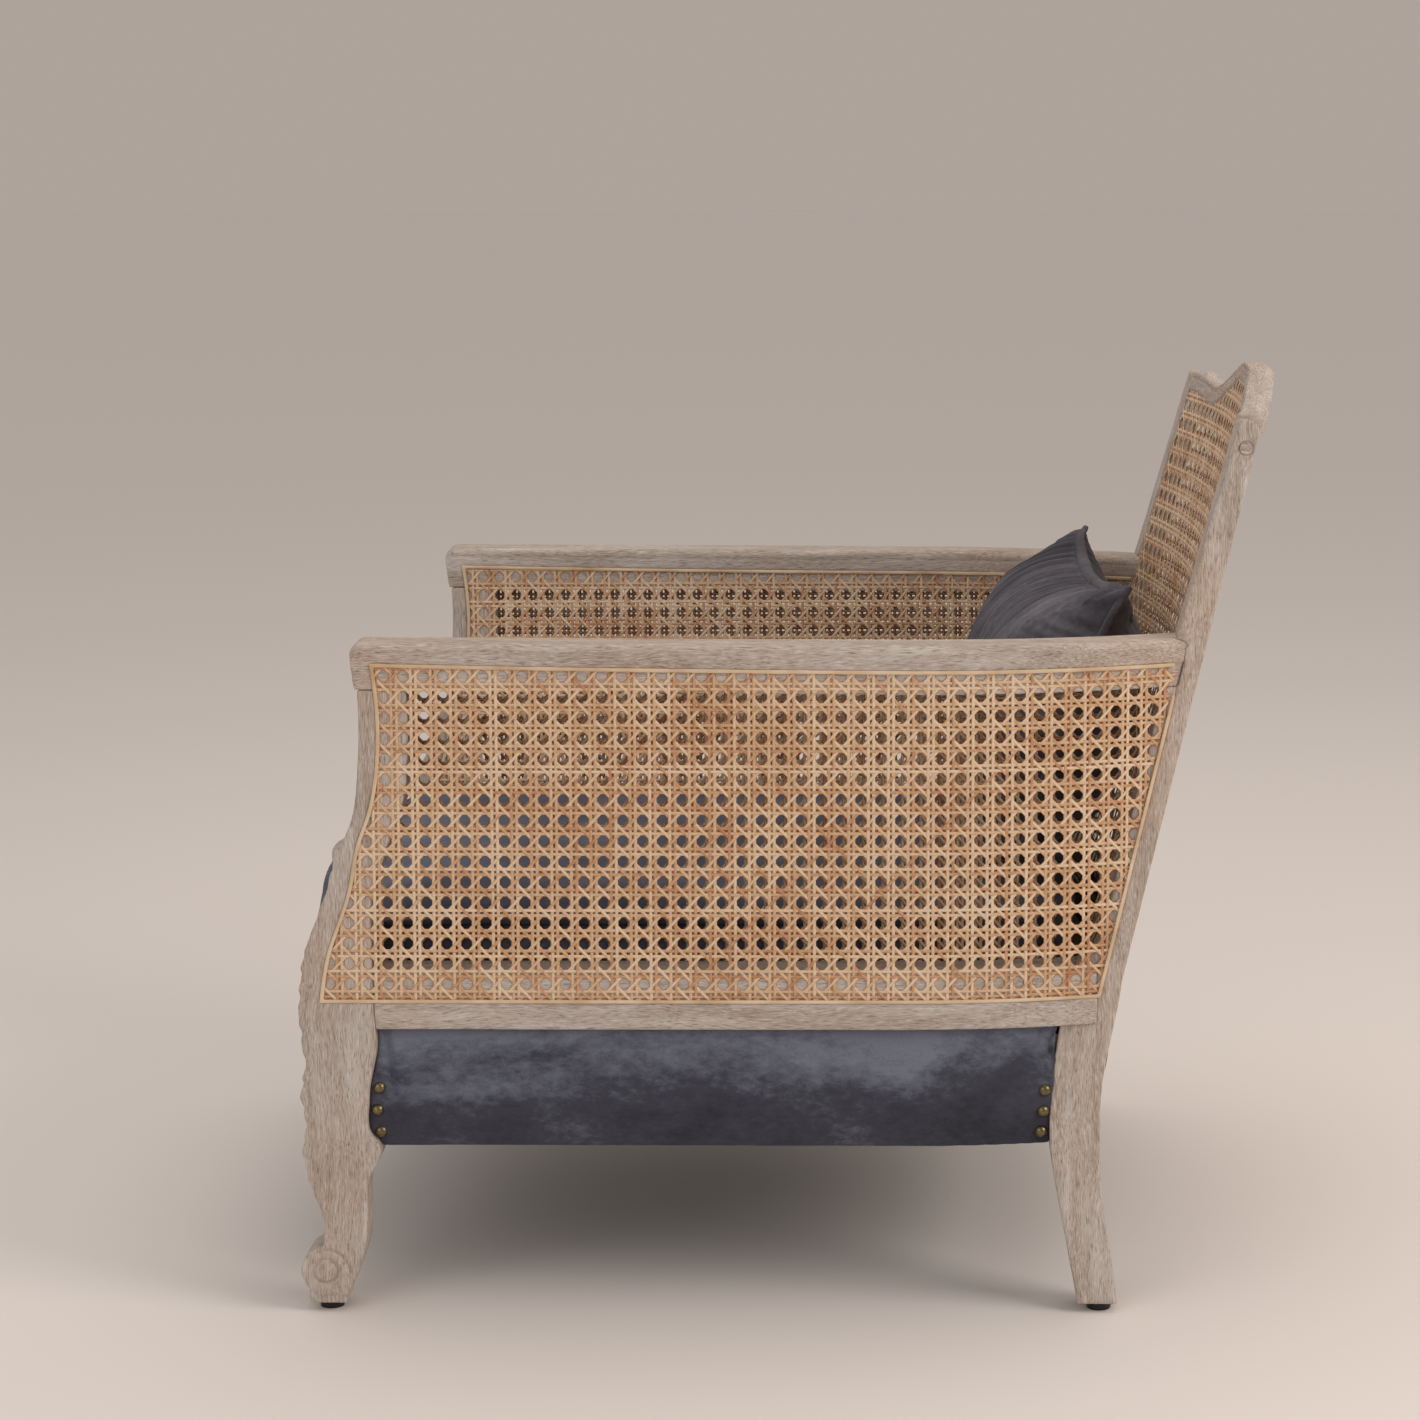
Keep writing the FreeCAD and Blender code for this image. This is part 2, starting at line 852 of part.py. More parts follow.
def pillow(thickness):
    half = pillow_thickness / 2.0
    levels = (
        (-1.0, 0.46, 0.1),
        (-0.93, 0.34, 0.3),
        (-0.72, 0.2, 0.6),
        (-0.36, 0.07, 0.9),
        (0.0, 0.0, 1.0),
        (0.36, 0.07, 0.9),
        (0.72, 0.2, 0.6),
        (0.93, 0.34, 0.3),
        (1.0, 0.46, 0.1),
    )
    wires = []
    for depth, inset, draw in levels:
        reach = inset * pillow_height + thickness
        wires.append(
            pillow_face(reach, depth * (half - thickness), draw * pillow_draw_in).OuterWire
        )
    return Part.makeLoft(wires, True, True)


def pillow_piping():
    half = 0.5 * pillow_piping_width
    face = pillow_face(-half, -half, pillow_draw_in)
    hole = pillow_face(half, -half, pillow_draw_in)
    return along_z(face, pillow_piping_width).cut(along_z(hole, pillow_piping_width))


def laid_back(shape):
    # Stands a piece made flat on XY up against the back, at the pillow's tilt
    placed = shape.copy()
    placed.rotate(Vector(0, 0, 0), Vector(1, 0, 0), pillow_tilt)
    seat = cushion_bottom() + cushion_edge_height + cushion_crown - pillow_seat_drop
    tilt = math.radians(pillow_tilt)
    rise = 0.5 * (pillow_height + pillow_piping_width) * math.sin(tilt)
    rise = rise + 0.5 * pillow_piping_width * math.cos(tilt)
    placed.translate(Vector(pillow_centre_x, pillow_centre_y, seat + pillow_gap + rise))
    return placed


def frame():
    # The wooden frame, each member cut back to the one it meets
    pieces = {}
    post = front_post()
    rear = rear_post()
    arm = arm_rail()
    rail = side_rail()
    seat_side = side_seat_rail()
    crest = crest_rail()
    lower = back_rail()
    apron = front_rail()
    back_seat = rear_rail()
    post = one_solid(post)
    rear = one_solid(rear.cut(arm))
    rail = one_solid(rail.cut(post).cut(rear))
    seat_side = one_solid(seat_side.cut(post).cut(rear).cut(rail))
    other_rear = mirrored(rear)
    back_seat = one_solid(back_seat.cut(rear).cut(other_rear))
    lower = one_solid(lower.cut(rear).cut(other_rear).cut(back_seat))
    crest = one_solid(crest.cut(rear).cut(other_rear))
    seat_side = one_solid(seat_side.cut(back_seat))
    # Recesses for the cane in the outer and inner faces
    for depth in (
        (-cane_recess, cane_recess),
        (frame_thickness - cane_recess, 1.6 * frame_thickness),
    ):
        cutter = side_area(0.0, side_from, side_to).common(side_strip(*depth))
        post = one_solid(post.cut(cutter))
        arm = one_solid(arm.cut(cutter))
        rail = one_solid(rail.cut(cutter))
        rear = one_solid(rear.cut(cutter))
    for depth in ((-back_thickness, cane_recess), (back_thickness - cane_recess, 2.0 * back_thickness)):
        cutter = back_layer(depth[0], depth[1], 0.0)
        crest = one_solid(crest.cut(cutter))
        lower = one_solid(lower.cut(cutter))
    pieces["front_leg"] = post
    pieces["rear_post"] = rear
    pieces["arm_rail"] = arm
    pieces["side_rail"] = rail
    pieces["side_seat_rail"] = seat_side
    singles = {
        "crest_rail": crest,
        "back_rail": lower,
        "front_seat_rail": apron,
        "rear_seat_rail": back_seat,
    }
    return pieces, singles


def rod(x, y, z, way, radius, length):
    start = Vector(x, y, z) - way * (length / 2.0)
    return Part.makeCylinder(radius, length, start, way)


def dowels():
    # Wooden pins through each joint of the right-hand side, then of the cross members
    ex, ey, ez = Vector(1, 0, 0), Vector(0, 1, 0), Vector(0, 0, 1)
    x = half_width - frame_thickness / 2.0
    short = 0.7 * dowel_length
    pins = []
    for z in (side_rail_bottom + 0.56 * side_rail_face, cane_bottom + 0.5 * rabbet_bottom):
        pins.append(rod(x, front_joint_y, z, ey, dowel_radius, dowel_length))
        y = rear_edge_at_rail - 0.8 * post_depth
        pins.append(rod(x - side_inset(y), y, z, ey, dowel_radius, dowel_length))
    for share in (1.05, 1.28):
        pins.append(rod(x, share * leg_depth, block_bottom, ez, dowel_radius, short))
    z = arm_height - arm_face_rear
    y = rear_edge(z) - post_seen_width
    x_there = x - side_inset(y) + 0.04 * frame_thickness
    pins.append(rod(x_there, y, z, ey, dowel_radius, 0.55 * dowel_length))
    seat_x = half_width - side_seat_rail_outer - side_seat_rail_thickness / 2.0
    seat_height = seat_rail_top - seat_rail_bottom
    for share in (0.22, 0.78):
        z = seat_rail_bottom + share * seat_height
        pins.append(rod(seat_x, 0.9 * leg_depth, z, ey, dowel_radius, dowel_length))
        y = rear_edge_at_rail - post_depth
        pins.append(rod(seat_x - side_inset(y), y, z, ey, dowel_radius, short))
        apron_y = apron_set_back + front_rail_thickness / 2.0
        pins.append(rod(reach, apron_y, z, ex, dowel_radius, dowel_length))
        side = stile_inner_x(z)
        rear_y = rear_rail_y + rear_rail_thickness / 2.0 + back_curve_y(side)
        pins.append(rod(side, rear_y, z, ex, dowel_radius, dowel_length))
    z = cane_bottom
    side = stile_inner_x(z)
    rear_y = back_front_y(z) + back_thickness / 2.0 + back_curve_y(side)
    pins.append(rod(side, rear_y, z, ex, dowel_radius, dowel_length))
    return pins


def crest_peg():
    # Turned peg driven through the stile into the end of the crest, its head left to show
    z = crest_shoulder - 4.5 * crest_peg_radius
    y = rear_edge(z) - 0.4 * stile_width_at_top
    x = stile_inner_x(z) + post_width + 0.1 * crest_peg_radius
    way = Vector(-1, 0, 0)
    return Part.makeCylinder(crest_peg_radius, crest_peg_length, Vector(x, y, z), way)


def corner_blocks():
    z0 = (seat_rail_bottom + seat_rail_top - corner_block_height) / 2.0
    x = half_width - side_seat_rail_outer - side_seat_rail_thickness
    front_y = apron_set_back + 0.6 * front_rail_thickness
    rear_y = rear_rail_y + 0.3 * rear_rail_thickness
    leg = corner_block_leg
    front = outline(xy(z0), (x, front_y), (x, front_y + 1.35 * leg), (x - leg, front_y))
    inset = side_inset(rear_y)
    rear = outline(
        xy(z0), (x - inset, rear_y), (x - inset, rear_y - 1.1 * leg), (x - inset - leg, rear_y)
    )
    return [along_z(front, corner_block_height), along_z(rear, corner_block_height)]


def build():
    pieces, singles = frame()
    wood = dict(singles)
    for name, shape in pieces.items():
        wood[name + "_right"] = shape
        wood[name + "_left"] = mirrored(shape)

    blocks = []
    for block in corner_blocks():
        for other in (block, mirrored(block)):
            for name in wood:
                other = other.cut(wood[name])
            blocks.append(one_solid(other))

    screws = []
    for block in blocks:
        middle = block.CenterOfMass
        sign = 1.0 if middle.x > 0 else -1.0
        end = -1.0 if middle.y < bend_start else 1.0
        for share, way in ((0.12, Vector(sign, 0, 0)), (-0.12, Vector(0, end, 0))):
            height = middle.z + share * corner_block_height
            start = Vector(middle.x, middle.y, height) - way * (0.26 * screw_length)
            screws.append(Part.makeCylinder(screw_radius, screw_length, start, way))

    pins = dowels()
    pins = pins + [mirrored(pin) for pin in pins]
    pegs = [crest_peg(), mirrored(crest_peg())]
    drill = Part.makeCompound(pins + pegs + screws)
    for name in wood:
        wood[name] = one_solid(wood[name].cut(drill))
    blocks = [one_solid(block.cut(drill)) for block in blocks]

    parts.update(wood)
    parts["corner_blocks"] = Part.makeCompound(blocks)
    parts["corner_block_screws"] = Part.makeCompound(screws)
    parts["joint_dowels"] = Part.makeCompound(pins)
    parts["crest_pegs"] = Part.makeCompound(pegs)

    # Side cane and splines, outside and inside
    floor_out = cane_recess
    layers = {
        "outer": (floor_out - cane_thickness, floor_out, -spline_proud, floor_out - cane_thickness),
        "inner": (
            frame_thickness - floor_out,
            frame_thickness - floor_out + cane_thickness,
            frame_thickness - floor_out + cane_thickness,
            frame_thickness + spline_proud,
        ),
    }
    whole = side_area(0.0, side_from, side_to)
    inside = side_area(spline_width, side_from, side_to)
    ring = whole.cut(inside)
    posts = (wood["rear_post_right"], wood["front_leg_right"])
    back_space = back_strip(-spline_proud - 0.2, 2.0 * back_thickness, side_rail_bottom, arm_height)
    for name, (c0, c1, s0, s1) in layers.items():
        cane = one_solid(whole.common(side_strip(c0, c1)))
        spline = one_solid(ring.common(side_strip(s0, s1)))
        for post in posts + (back_space,):
            cane = one_solid(cane.cut(post))
            spline = one_solid(spline.cut(post))
        if name == "outer":
            cane = one_solid(cane.cut(cane_openings(side_from, side_to)))
        parts["side_cane_%s_right" % name] = cane
        parts["side_cane_%s_left" % name] = mirrored(cane)
        parts["side_spline_%s_right" % name] = spline
        parts["side_spline_%s_left" % name] = mirrored(spline)

    # Back cane and splines, front and rear
    behind = back_thickness - cane_recess
    back_layers = {
        "front": (cane_recess - cane_thickness, cane_recess, -spline_proud, cane_recess - cane_thickness),
        "rear": (
            behind,
            behind + cane_thickness,
            behind + cane_thickness,
            back_thickness + spline_proud,
        ),
    }
    stiles = (wood["rear_post_right"], wood["rear_post_left"])
    arms = (wood["arm_rail_right"], wood["arm_rail_left"])
    for name, (c0, c1, s0, s1) in back_layers.items():
        cane = back_layer(c0, c1, 0.0)
        spline = back_layer(s0, s1, 0.0).cut(back_layer(s0 - 1.0, s1 + 1.0, spline_width))
        for piece in stiles + arms:
            cane = one_solid(cane.cut(piece))
            spline = one_solid(spline.cut(piece))
        parts["back_cane_%s" % name] = cane
        parts["back_spline_%s" % name] = spline

    # Crowned velvet borders over their wadding
    nails_side, nails_rear = [], []
    near_leg = leg_depth + 0.5
    near_post = rear_edge_at_rail - post_depth - 1.05 * nail_radius
    for y, share in (
        (near_leg, 0.50),
        (near_leg - 0.03 * leg_depth, 0.31),
        (near_leg, 0.12),
        (near_post + 0.02 * post_depth, 0.46),
        (near_post, 0.28),
        (near_post - 0.02 * post_depth, 0.10),
    ):
        z = seat_rail_bottom + share * (side_rail_bottom - seat_rail_bottom)
        turn = math.asin(max(0.0, y - bend_start) / bend_radius)
        out = border_surface(z) - side_seat_rail_outer
        x = half_width + out - (bend_radius + out) * (1.0 - math.cos(turn))
        y = y + out * math.sin(turn)
        nails_side.append(nail(Vector(x, y, z), Vector(math.cos(turn), math.sin(turn), 0)))
    nails_side = nails_side + [mirrored(n) for n in nails_side]
    for share in (0.48, 0.29, 0.11):
        z = seat_rail_bottom + share * (side_rail_bottom - seat_rail_bottom)
        for sign in (1.0, -1.0):
            turn = math.asin(sign * (stile_inner_x(z) - 1.6 * nail_radius) / back_radius)
            radius = back_radius + border_surface(z)
            x = radius * math.sin(turn)
            y = rear_rail_centre_y - back_radius + radius * math.cos(turn)
            nails_rear.append(nail(Vector(x, y, z), Vector(math.sin(turn), math.cos(turn), 0)))
    parts["side_nails"] = Part.makeCompound(nails_side)
    parts["rear_nails"] = Part.makeCompound(nails_rear)
    tacks = Part.makeCompound(nails_side + nails_rear)

    side_outer, side_core = side_border(0.0), side_border(cover_thickness)
    near_wood = ("front_leg_right", "rear_post_right", "side_rail_right", "side_seat_rail_right")
    side_keep = [wood[n] for n in near_wood]
    side_cover = side_outer.cut(side_core)
    for piece in side_keep:
        side_cover = side_cover.cut(piece)
        side_core = side_core.cut(piece)
    side_cover = one_solid(side_cover.cut(tacks))
    side_core = one_solid(side_core.cut(tacks))
    rear_outer, rear_core = rear_border(0.0), rear_border(cover_thickness)
    rear_cover = rear_outer.cut(rear_core)
    for piece in stiles + (wood["rear_seat_rail"], wood["back_rail"]):
        rear_cover = rear_cover.cut(piece)
        rear_core = rear_core.cut(piece)
    parts["side_velvet_right"] = side_cover
    parts["side_velvet_left"] = mirrored(side_cover)
    parts["side_wadding_right"] = side_core
    parts["side_wadding_left"] = mirrored(side_core)
    parts["rear_velvet"] = one_solid(rear_cover.cut(tacks))
    parts["rear_wadding"] = one_solid(rear_core.cut(tacks))
    for name in ("side_seat_rail_right", "side_seat_rail_left", "rear_seat_rail"):
        parts[name] = one_solid(parts[name].cut(tacks))

    # Webbing: straps front to rear, and straps across on top of them
    long_straps, cross_straps = [], []
    for share in (-0.74, -0.25, 0.25, 0.74):
        x = share * reach
        y0 = front_arc_y(x, apron_set_back, front_bow, reach) + 0.35 * front_rail_thickness
        y1 = rear_rail_y + back_curve_y(x) + 0.7 * rear_rail_thickness
        z = seat_rail_top
        long_straps.append(
            box(x - webbing_width / 2, y0, z, x + webbing_width / 2, y1, z + webbing_thickness)
        )
    for share in (0.17, 0.37, 0.565, 0.76):
        y = share * rear_edge_at_rail
        x = half_width - 1.4 * side_seat_rail_outer - side_inset(y + webbing_width / 2)
        z = seat_rail_top + webbing_thickness
        cross_straps.append(
            box(-x, y - webbing_width / 2, z, x, y + webbing_width / 2, z + webbing_thickness)
        )
    rear_seat = parts["rear_seat_rail"]
    long_straps = [one_solid(strap.cut(rear_seat)) for strap in long_straps]
    parts["webbing_long"] = Part.makeCompound(long_straps)
    parts["webbing_cross"] = Part.makeCompound(cross_straps)
    pad_z = seat_rail_top + 2.0 * webbing_thickness
    edge = apron_set_back + 0.18 * front_rail_thickness
    over_apron = outline(
        xy(low),
        (-reach, edge),
        ("arc", (0, edge - front_bow), (reach, edge)),
        (reach, beyond_rear),
        (-reach, beyond_rear),
    )
    over_apron = along_z(over_apron, high)
    pad = along_z(cushion_face(2.0 * cover_thickness, pad_z), deck_pad_thickness).common(over_apron)
    cloth = along_z(cushion_face(rest_gap, pad_z + deck_pad_thickness), deck_cloth_thickness)
    cloth = cloth.common(over_apron)
    for piece in (rear_seat, wood["back_rail"], wood["rear_post_right"], wood["rear_post_left"]):
        pad = pad.cut(piece)
        cloth = cloth.cut(piece)
    parts["deck_pad"] = one_solid(pad)
    parts["deck_cloth"] = one_solid(cloth)
    wide = half_width - 0.55 * frame_thickness
    front_y = apron_set_back + 0.7 * front_rail_thickness
    rear_y = rear_rail_y + 0.3 * rear_rail_thickness
    under = outline(
        xy(seat_rail_bottom - dust_cover_thickness),
        (-wide, front_y + 0.15 * front_bow),
        ("arc", (0, front_y - front_bow), (wide, front_y + 0.15 * front_bow)),
        (wide, rear_y + back_curve_y(wide)),
        ("arc", (0, rear_y + back_sag), (-wide, rear_y + back_curve_y(wide))),
    )
    under = along_z(under, dust_cover_thickness)
    beyond = side_strip(-frame_thickness, side_seat_rail_outer + 1.0)
    under = under.cut(beyond).cut(mirrored(beyond))
    for name in (
        "front_leg_right", "front_leg_left", "rear_post_right", "rear_post_left", "front_seat_rail"
    ):
        under = under.cut(wood[name])
    parts["dust_cover"] = one_solid(under)

    # Loose seat cushion
    core = seat_cushion(cover_thickness, piping_width)
    rings = cushion_piping(piping_width)
    cover = seat_cushion(0.0).cut(core)
    for seam_room in cushion_piping(2.5 * piping_width):
        cover = cover.cut(seam_room)
    bottom, border, top = sorted(cover.Solids, key=lambda s: s.CenterOfMass.z)[:3]
    parts["seat_cushion_bottom"] = bottom
    parts["seat_cushion_border"] = border
    parts["seat_cushion_top"] = top
    parts["seat_cushion_core"] = one_solid(core)
    parts["seat_cushion_piping"] = Part.makeCompound([one_solid(r) for r in rings])

    # Scatter cushion
    fill = pillow(cover_thickness)
    seam = pillow_piping()
    skin = pillow(0.0).cut(fill).cut(seam)
    fill = fill.cut(seam)
    front, rear = sorted(skin.Solids, key=lambda s: -s.CenterOfMass.z)[:2]
    parts["scatter_cushion_front"] = laid_back(front)
    parts["scatter_cushion_back"] = laid_back(rear)
    parts["scatter_cushion_fill"] = laid_back(one_solid(fill))
    parts["scatter_cushion_piping"] = laid_back(one_solid(seam))

    # Floor glides under the four feet
    glides = []
    for x, y in (
        (half_width - frame_thickness / 2.0, 0.33 * leg_depth),
        (half_width - post_inset - post_width / 2.0, rear_edge_at_rail - 0.27 * post_depth),
    ):
        glide = Part.makeCone(glide_radius - 2.0, glide_radius, glide_height, Vector(x, y, 0))
        glides = glides + [glide, mirrored(glide)]
    parts["floor_glides"] = Part.makeCompound(glides)


def centred():
    # Moves everything so that the origin is the middle of the footprint on the floor
    bounds = Part.makeCompound(list(parts.values())).optimalBoundingBox(False, False)
    shift = Vector(-(bounds.XMin + bounds.XMax) / 2.0, -(bounds.YMin + bounds.YMax) / 2.0, -bounds.ZMin)
    for name in parts:
        parts[name] = parts[name].translated(shift)
    print("size", round(bounds.XLength, 2), round(bounds.YLength, 2), round(bounds.ZLength, 2))
    print("shift", [round(v, 3) for v in shift])


build()
centred()
os.makedirs("parts", exist_ok=True)
for part_name, part_shape in parts.items():
    if not part_shape.isValid():
        print("not valid:", part_name)
    part_shape.exportStep("parts/" + part_name + ".step")
    print(part_name, len(part_shape.Solids), round(part_shape.Volume / 1000.0, 2))
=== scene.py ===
import math
import random

import bpy
import numpy as np
from mathutils import Matrix, Vector


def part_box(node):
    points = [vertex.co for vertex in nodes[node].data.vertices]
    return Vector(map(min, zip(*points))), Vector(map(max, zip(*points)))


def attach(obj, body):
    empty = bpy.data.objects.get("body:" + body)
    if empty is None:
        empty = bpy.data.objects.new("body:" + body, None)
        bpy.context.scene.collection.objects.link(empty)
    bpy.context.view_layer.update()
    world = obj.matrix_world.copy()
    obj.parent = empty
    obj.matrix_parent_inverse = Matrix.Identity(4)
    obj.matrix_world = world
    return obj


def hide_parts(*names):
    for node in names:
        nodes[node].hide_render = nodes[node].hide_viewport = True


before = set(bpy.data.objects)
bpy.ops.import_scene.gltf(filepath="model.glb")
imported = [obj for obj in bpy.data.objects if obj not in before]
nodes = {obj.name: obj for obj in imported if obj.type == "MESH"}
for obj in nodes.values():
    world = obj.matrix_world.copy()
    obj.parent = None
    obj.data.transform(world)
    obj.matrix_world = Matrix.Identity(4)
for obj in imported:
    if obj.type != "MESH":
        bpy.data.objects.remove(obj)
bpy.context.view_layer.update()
random.seed(7)

mm = 0.001
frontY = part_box("front_leg_right")[0][1] * 1000.0
# Sizes of the drawing that the looks follow, in millimetres
halfWidth = 350.0
frameThickness = 45.0
bendStart = 560.0  # the sides are straight up to here, then bend inwards
bendRadius = 737.0
backSag = 28.0
backRadius = 1268.0
backRake = 0.27
backThickness = 26.0
backFoot = 726.0
rearRake = 0.248
rearFoot = 762.0
caneBottom = 297.0
caneHeight = 319.0
legDepth = 76.0
postSeen = 16.3
armTop = 634.0
crestShoulder = 831.0
print("frame loaded, front of the feet at", round(frontY, 2))


# Helpers

def srgb(code):
    # sRGB hex colour to the linear values that shaders use
    values = [int(code[i:i + 2], 16) / 255.0 for i in (1, 3, 5)]
    return tuple(v / 12.92 if v <= 0.04045 else ((v + 0.055) / 1.055) ** 2.4 for v in values) + (1.0,)


def grey(v):
    return (v, v, v, 1.0)


def perMetre(size):
    # Scale of a pattern with features of this size in millimetres
    return 1000.0 / size


def newMaterial(name):
    mat = bpy.data.materials.new(name)
    mat.use_nodes = True
    tree = mat.node_tree
    return mat, tree, next(n for n in tree.nodes if n.type == "BSDF_PRINCIPLED")


def connect(tree, node, inputs):
    # Each input takes a source socket or a plain value
    for key, value in inputs.items():
        if isinstance(value, bpy.types.NodeSocket):
            tree.links.new(value, node.inputs[key])
        else:
            node.inputs[key].default_value = value


def add(tree, kind, inputs=None, settings=None, out=0):
    # Adds a node and gives its output; settings are its attributes, or the stops of a colour ramp
    node = tree.nodes.new("ShaderNode" + kind)
    for key, value in (settings or {}).items():
        if key != "stops":
            setattr(node, key, value)
            continue
        band = node.color_ramp
        while len(band.elements) > 1:
            band.elements.remove(band.elements[-1])
        band.elements[0].position, band.elements[0].color = value[0]
        for place, colour in value[1:]:
            band.elements.new(place).color = colour
    connect(tree, node, inputs or {})
    return node.outputs[out]


def meshObject(name, verts, faces, material, smooth=True, body="chair"):
    # verts in millimetres, measured from the front of the feet
    co = np.asarray(verts, float).copy()
    co[:, 1] += frontY
    mesh = bpy.data.meshes.new(name)
    mesh.from_pydata((co * mm).tolist(), [], [tuple(int(i) for i in f) for f in faces])
    mesh.validate()
    mesh.materials.append(material)
    if smooth:
        mesh.polygons.foreach_set("use_smooth", [True] * len(mesh.polygons))
    obj = bpy.data.objects.new(name, mesh)
    bpy.context.scene.collection.objects.link(obj)
    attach(obj, body)
    return obj


def readVerts(mesh):
    co = np.empty(len(mesh.vertices) * 3)
    mesh.vertices.foreach_get("co", co)
    co = co.reshape(-1, 3) * 1000.0
    co[:, 1] -= frontY
    return co


def writeVerts(mesh, co):
    out = co.copy()
    out[:, 1] += frontY
    mesh.vertices.foreach_set("co", (out * mm).ravel())
    mesh.update()


def readNormals(mesh):
    out = np.empty(len(mesh.vertices) * 3)
    mesh.vertices.foreach_get("normal", out)
    return out.reshape(-1, 3)


def evaluated(obj):
    # The mesh with its modifiers applied
    graph = bpy.context.evaluated_depsgraph_get()
    return bpy.data.meshes.new_from_object(obj.evaluated_get(graph))


def remeshed(name, sources, voxel, smoothing, material, body="chair", shape=None, keepLight=0):
    # One skin round copies of the CAD nodes, rounded by smoothing and then shaped
    allVerts, allFaces, start = [], [], 0
    for source in sources:
        mesh = nodes[source].data
        co = readVerts(mesh)
        allVerts.append(co)
        for polygon in mesh.polygons:
            allFaces.append([i + start for i in polygon.vertices])
        start += len(co)
    obj = meshObject(name, np.vstack(allVerts), allFaces, material, body=body)
    weld = obj.modifiers.new("weld", "WELD")
    weld.merge_threshold = 0.00002
    cover = obj.modifiers.new("skin", "REMESH")
    cover.mode = "VOXEL"
    cover.voxel_size = voxel * mm
    cover.use_smooth_shade = True
    if smoothing:
        soft = obj.modifiers.new("soft", "SMOOTH")
        soft.factor = 0.5
        soft.iterations = smoothing
    if keepLight:
        fewer = obj.modifiers.new("fewer", "DECIMATE")
        fewer.ratio = keepLight
    mesh = evaluated(obj)
    obj.modifiers.clear()
    mesh.name = name
    old = obj.data
    obj.data = mesh
    bpy.data.meshes.remove(old)
    if not mesh.materials:
        mesh.materials.append(material)
    mesh.materials[0] = material
    mesh.polygons.foreach_set("use_smooth", [True] * len(mesh.polygons))
    if shape:
        co = readVerts(mesh)
        writeVerts(mesh, shape(co, readNormals(mesh)))
    return obj


def triangles(obj):
    return sum(len(p.vertices) - 2 for p in obj.data.polygons)


def mirroredCopy(obj, name):
    mesh = obj.data.copy()
    mesh.name = name
    co = readVerts(mesh)
    co[:, 0] *= -1.0
    writeVerts(mesh, co)
    mesh.flip_normals()
    twin = bpy.data.objects.new(name, mesh)
    bpy.context.scene.collection.objects.link(twin)
    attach(twin, "chair")
    return twin


def standFor(obj, slot, *replaced):
    # The visible piece takes the place of these CAD nodes
    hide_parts(*replaced)


def smoothstep(lo, hi, v):
    t = np.clip((v - lo) / (hi - lo), 0.0, 1.0)
    return t * t * (3.0 - 2.0 * t)


def softNoise(points, size, seed=0):
    # Smooth noise from -1 to 1 over points (N x 2 or N x 3) in mm, about one swing per size
    local = np.random.default_rng(seed)
    total = np.zeros(len(points))
    for _ in range(14):
        way = local.normal(size=points.shape[1])
        way /= np.linalg.norm(way)
        rate = 2.0 * math.pi / (size * local.uniform(0.7, 1.6))
        total += np.sin(points @ way * rate + local.uniform(0, 6.28))
    return total / 5.0


# Finishes

blend = {"data_type": "RGBA"}
multiply = {"data_type": "RGBA", "blend_type": "MULTIPLY"}
multiplyAdd = {"operation": "MULTIPLY_ADD"}


def woodFinish(name, grain):
    # Mango wood, wire brushed and limed: matt, with pale pigment in pores that run along the grain
    sizes = {"poreWidth": 1.02, "poreLength": 11.76, "bandWidth": 11.11, "bandLength": 166.7,
             "patch": 142.9, "waver": 111.1}
    mat, tree, shader = newMaterial(name)
    place = add(tree, "TexCoord", out="Object")
    waver = add(tree, "TexNoise", {"Scale": perMetre(sizes["waver"]), "Detail": 2.0, "Vector": place},
                out="Color")
    bent = add(tree, "VectorMath", {0: waver, 1: (0.02, 0.02, 0.02), 2: place}, multiplyAdd)
    streaks = []
    for kind, detail, roughness in (("pore", 5.0, 0.62), ("band", 3.0, 0.5)):
        scale = [perMetre(sizes[kind + "Width"])] * 3
        scale["XYZ".index(grain)] = perMetre(sizes[kind + "Length"])
        spot = add(tree, "Mapping", {"Vector": bent, "Scale": tuple(scale)})
        streaks.append(add(tree, "TexNoise", {
            "Scale": 1.0, "Detail": detail, "Roughness": roughness, "Vector": spot}))
    pores, bands = streaks
    patches = add(tree, "TexNoise", {"Scale": perMetre(sizes["patch"]), "Detail": 3.0, "Vector": place})
    body = add(tree, "ValToRGB", {0: bands}, {"stops": [
        (0.30, srgb("#a59689")), (0.52, srgb("#b6aaa0")), (0.72, srgb("#c4bbb4"))]})
    warm = add(tree, "ValToRGB", {0: patches}, {"stops": [(0.46, grey(0.0)), (0.66, grey(1.0))]})
    brown = add(tree, "Mix", {0: 0.32, 6: body, 7: srgb("#b8957a")}, blend, 2)
    warmed = add(tree, "Mix", {0: warm, 6: body, 7: brown}, blend, 2)
    lime = add(tree, "ValToRGB", {0: pores}, {"stops": [(0.52, grey(0.0)), (0.68, grey(0.62))]})
    limed = add(tree, "Mix", {0: lime, 6: warmed, 7: srgb("#ded9d3")}, blend, 2)
    dark = add(tree, "ValToRGB", {0: pores}, {"stops": [(0.34, grey(0.7)), (0.46, grey(0.0))]})
    connect(tree, shader, {
        "Base Color": add(tree, "Mix", {0: dark, 6: limed, 7: srgb("#6f5f53")}, blend, 2),
        "Roughness": 0.78,
        "Specular IOR Level": 0.28,
        "Normal": add(tree, "Bump", {"Strength": 0.55, "Distance": 0.0006, "Height": pores}),
    })
    return mat


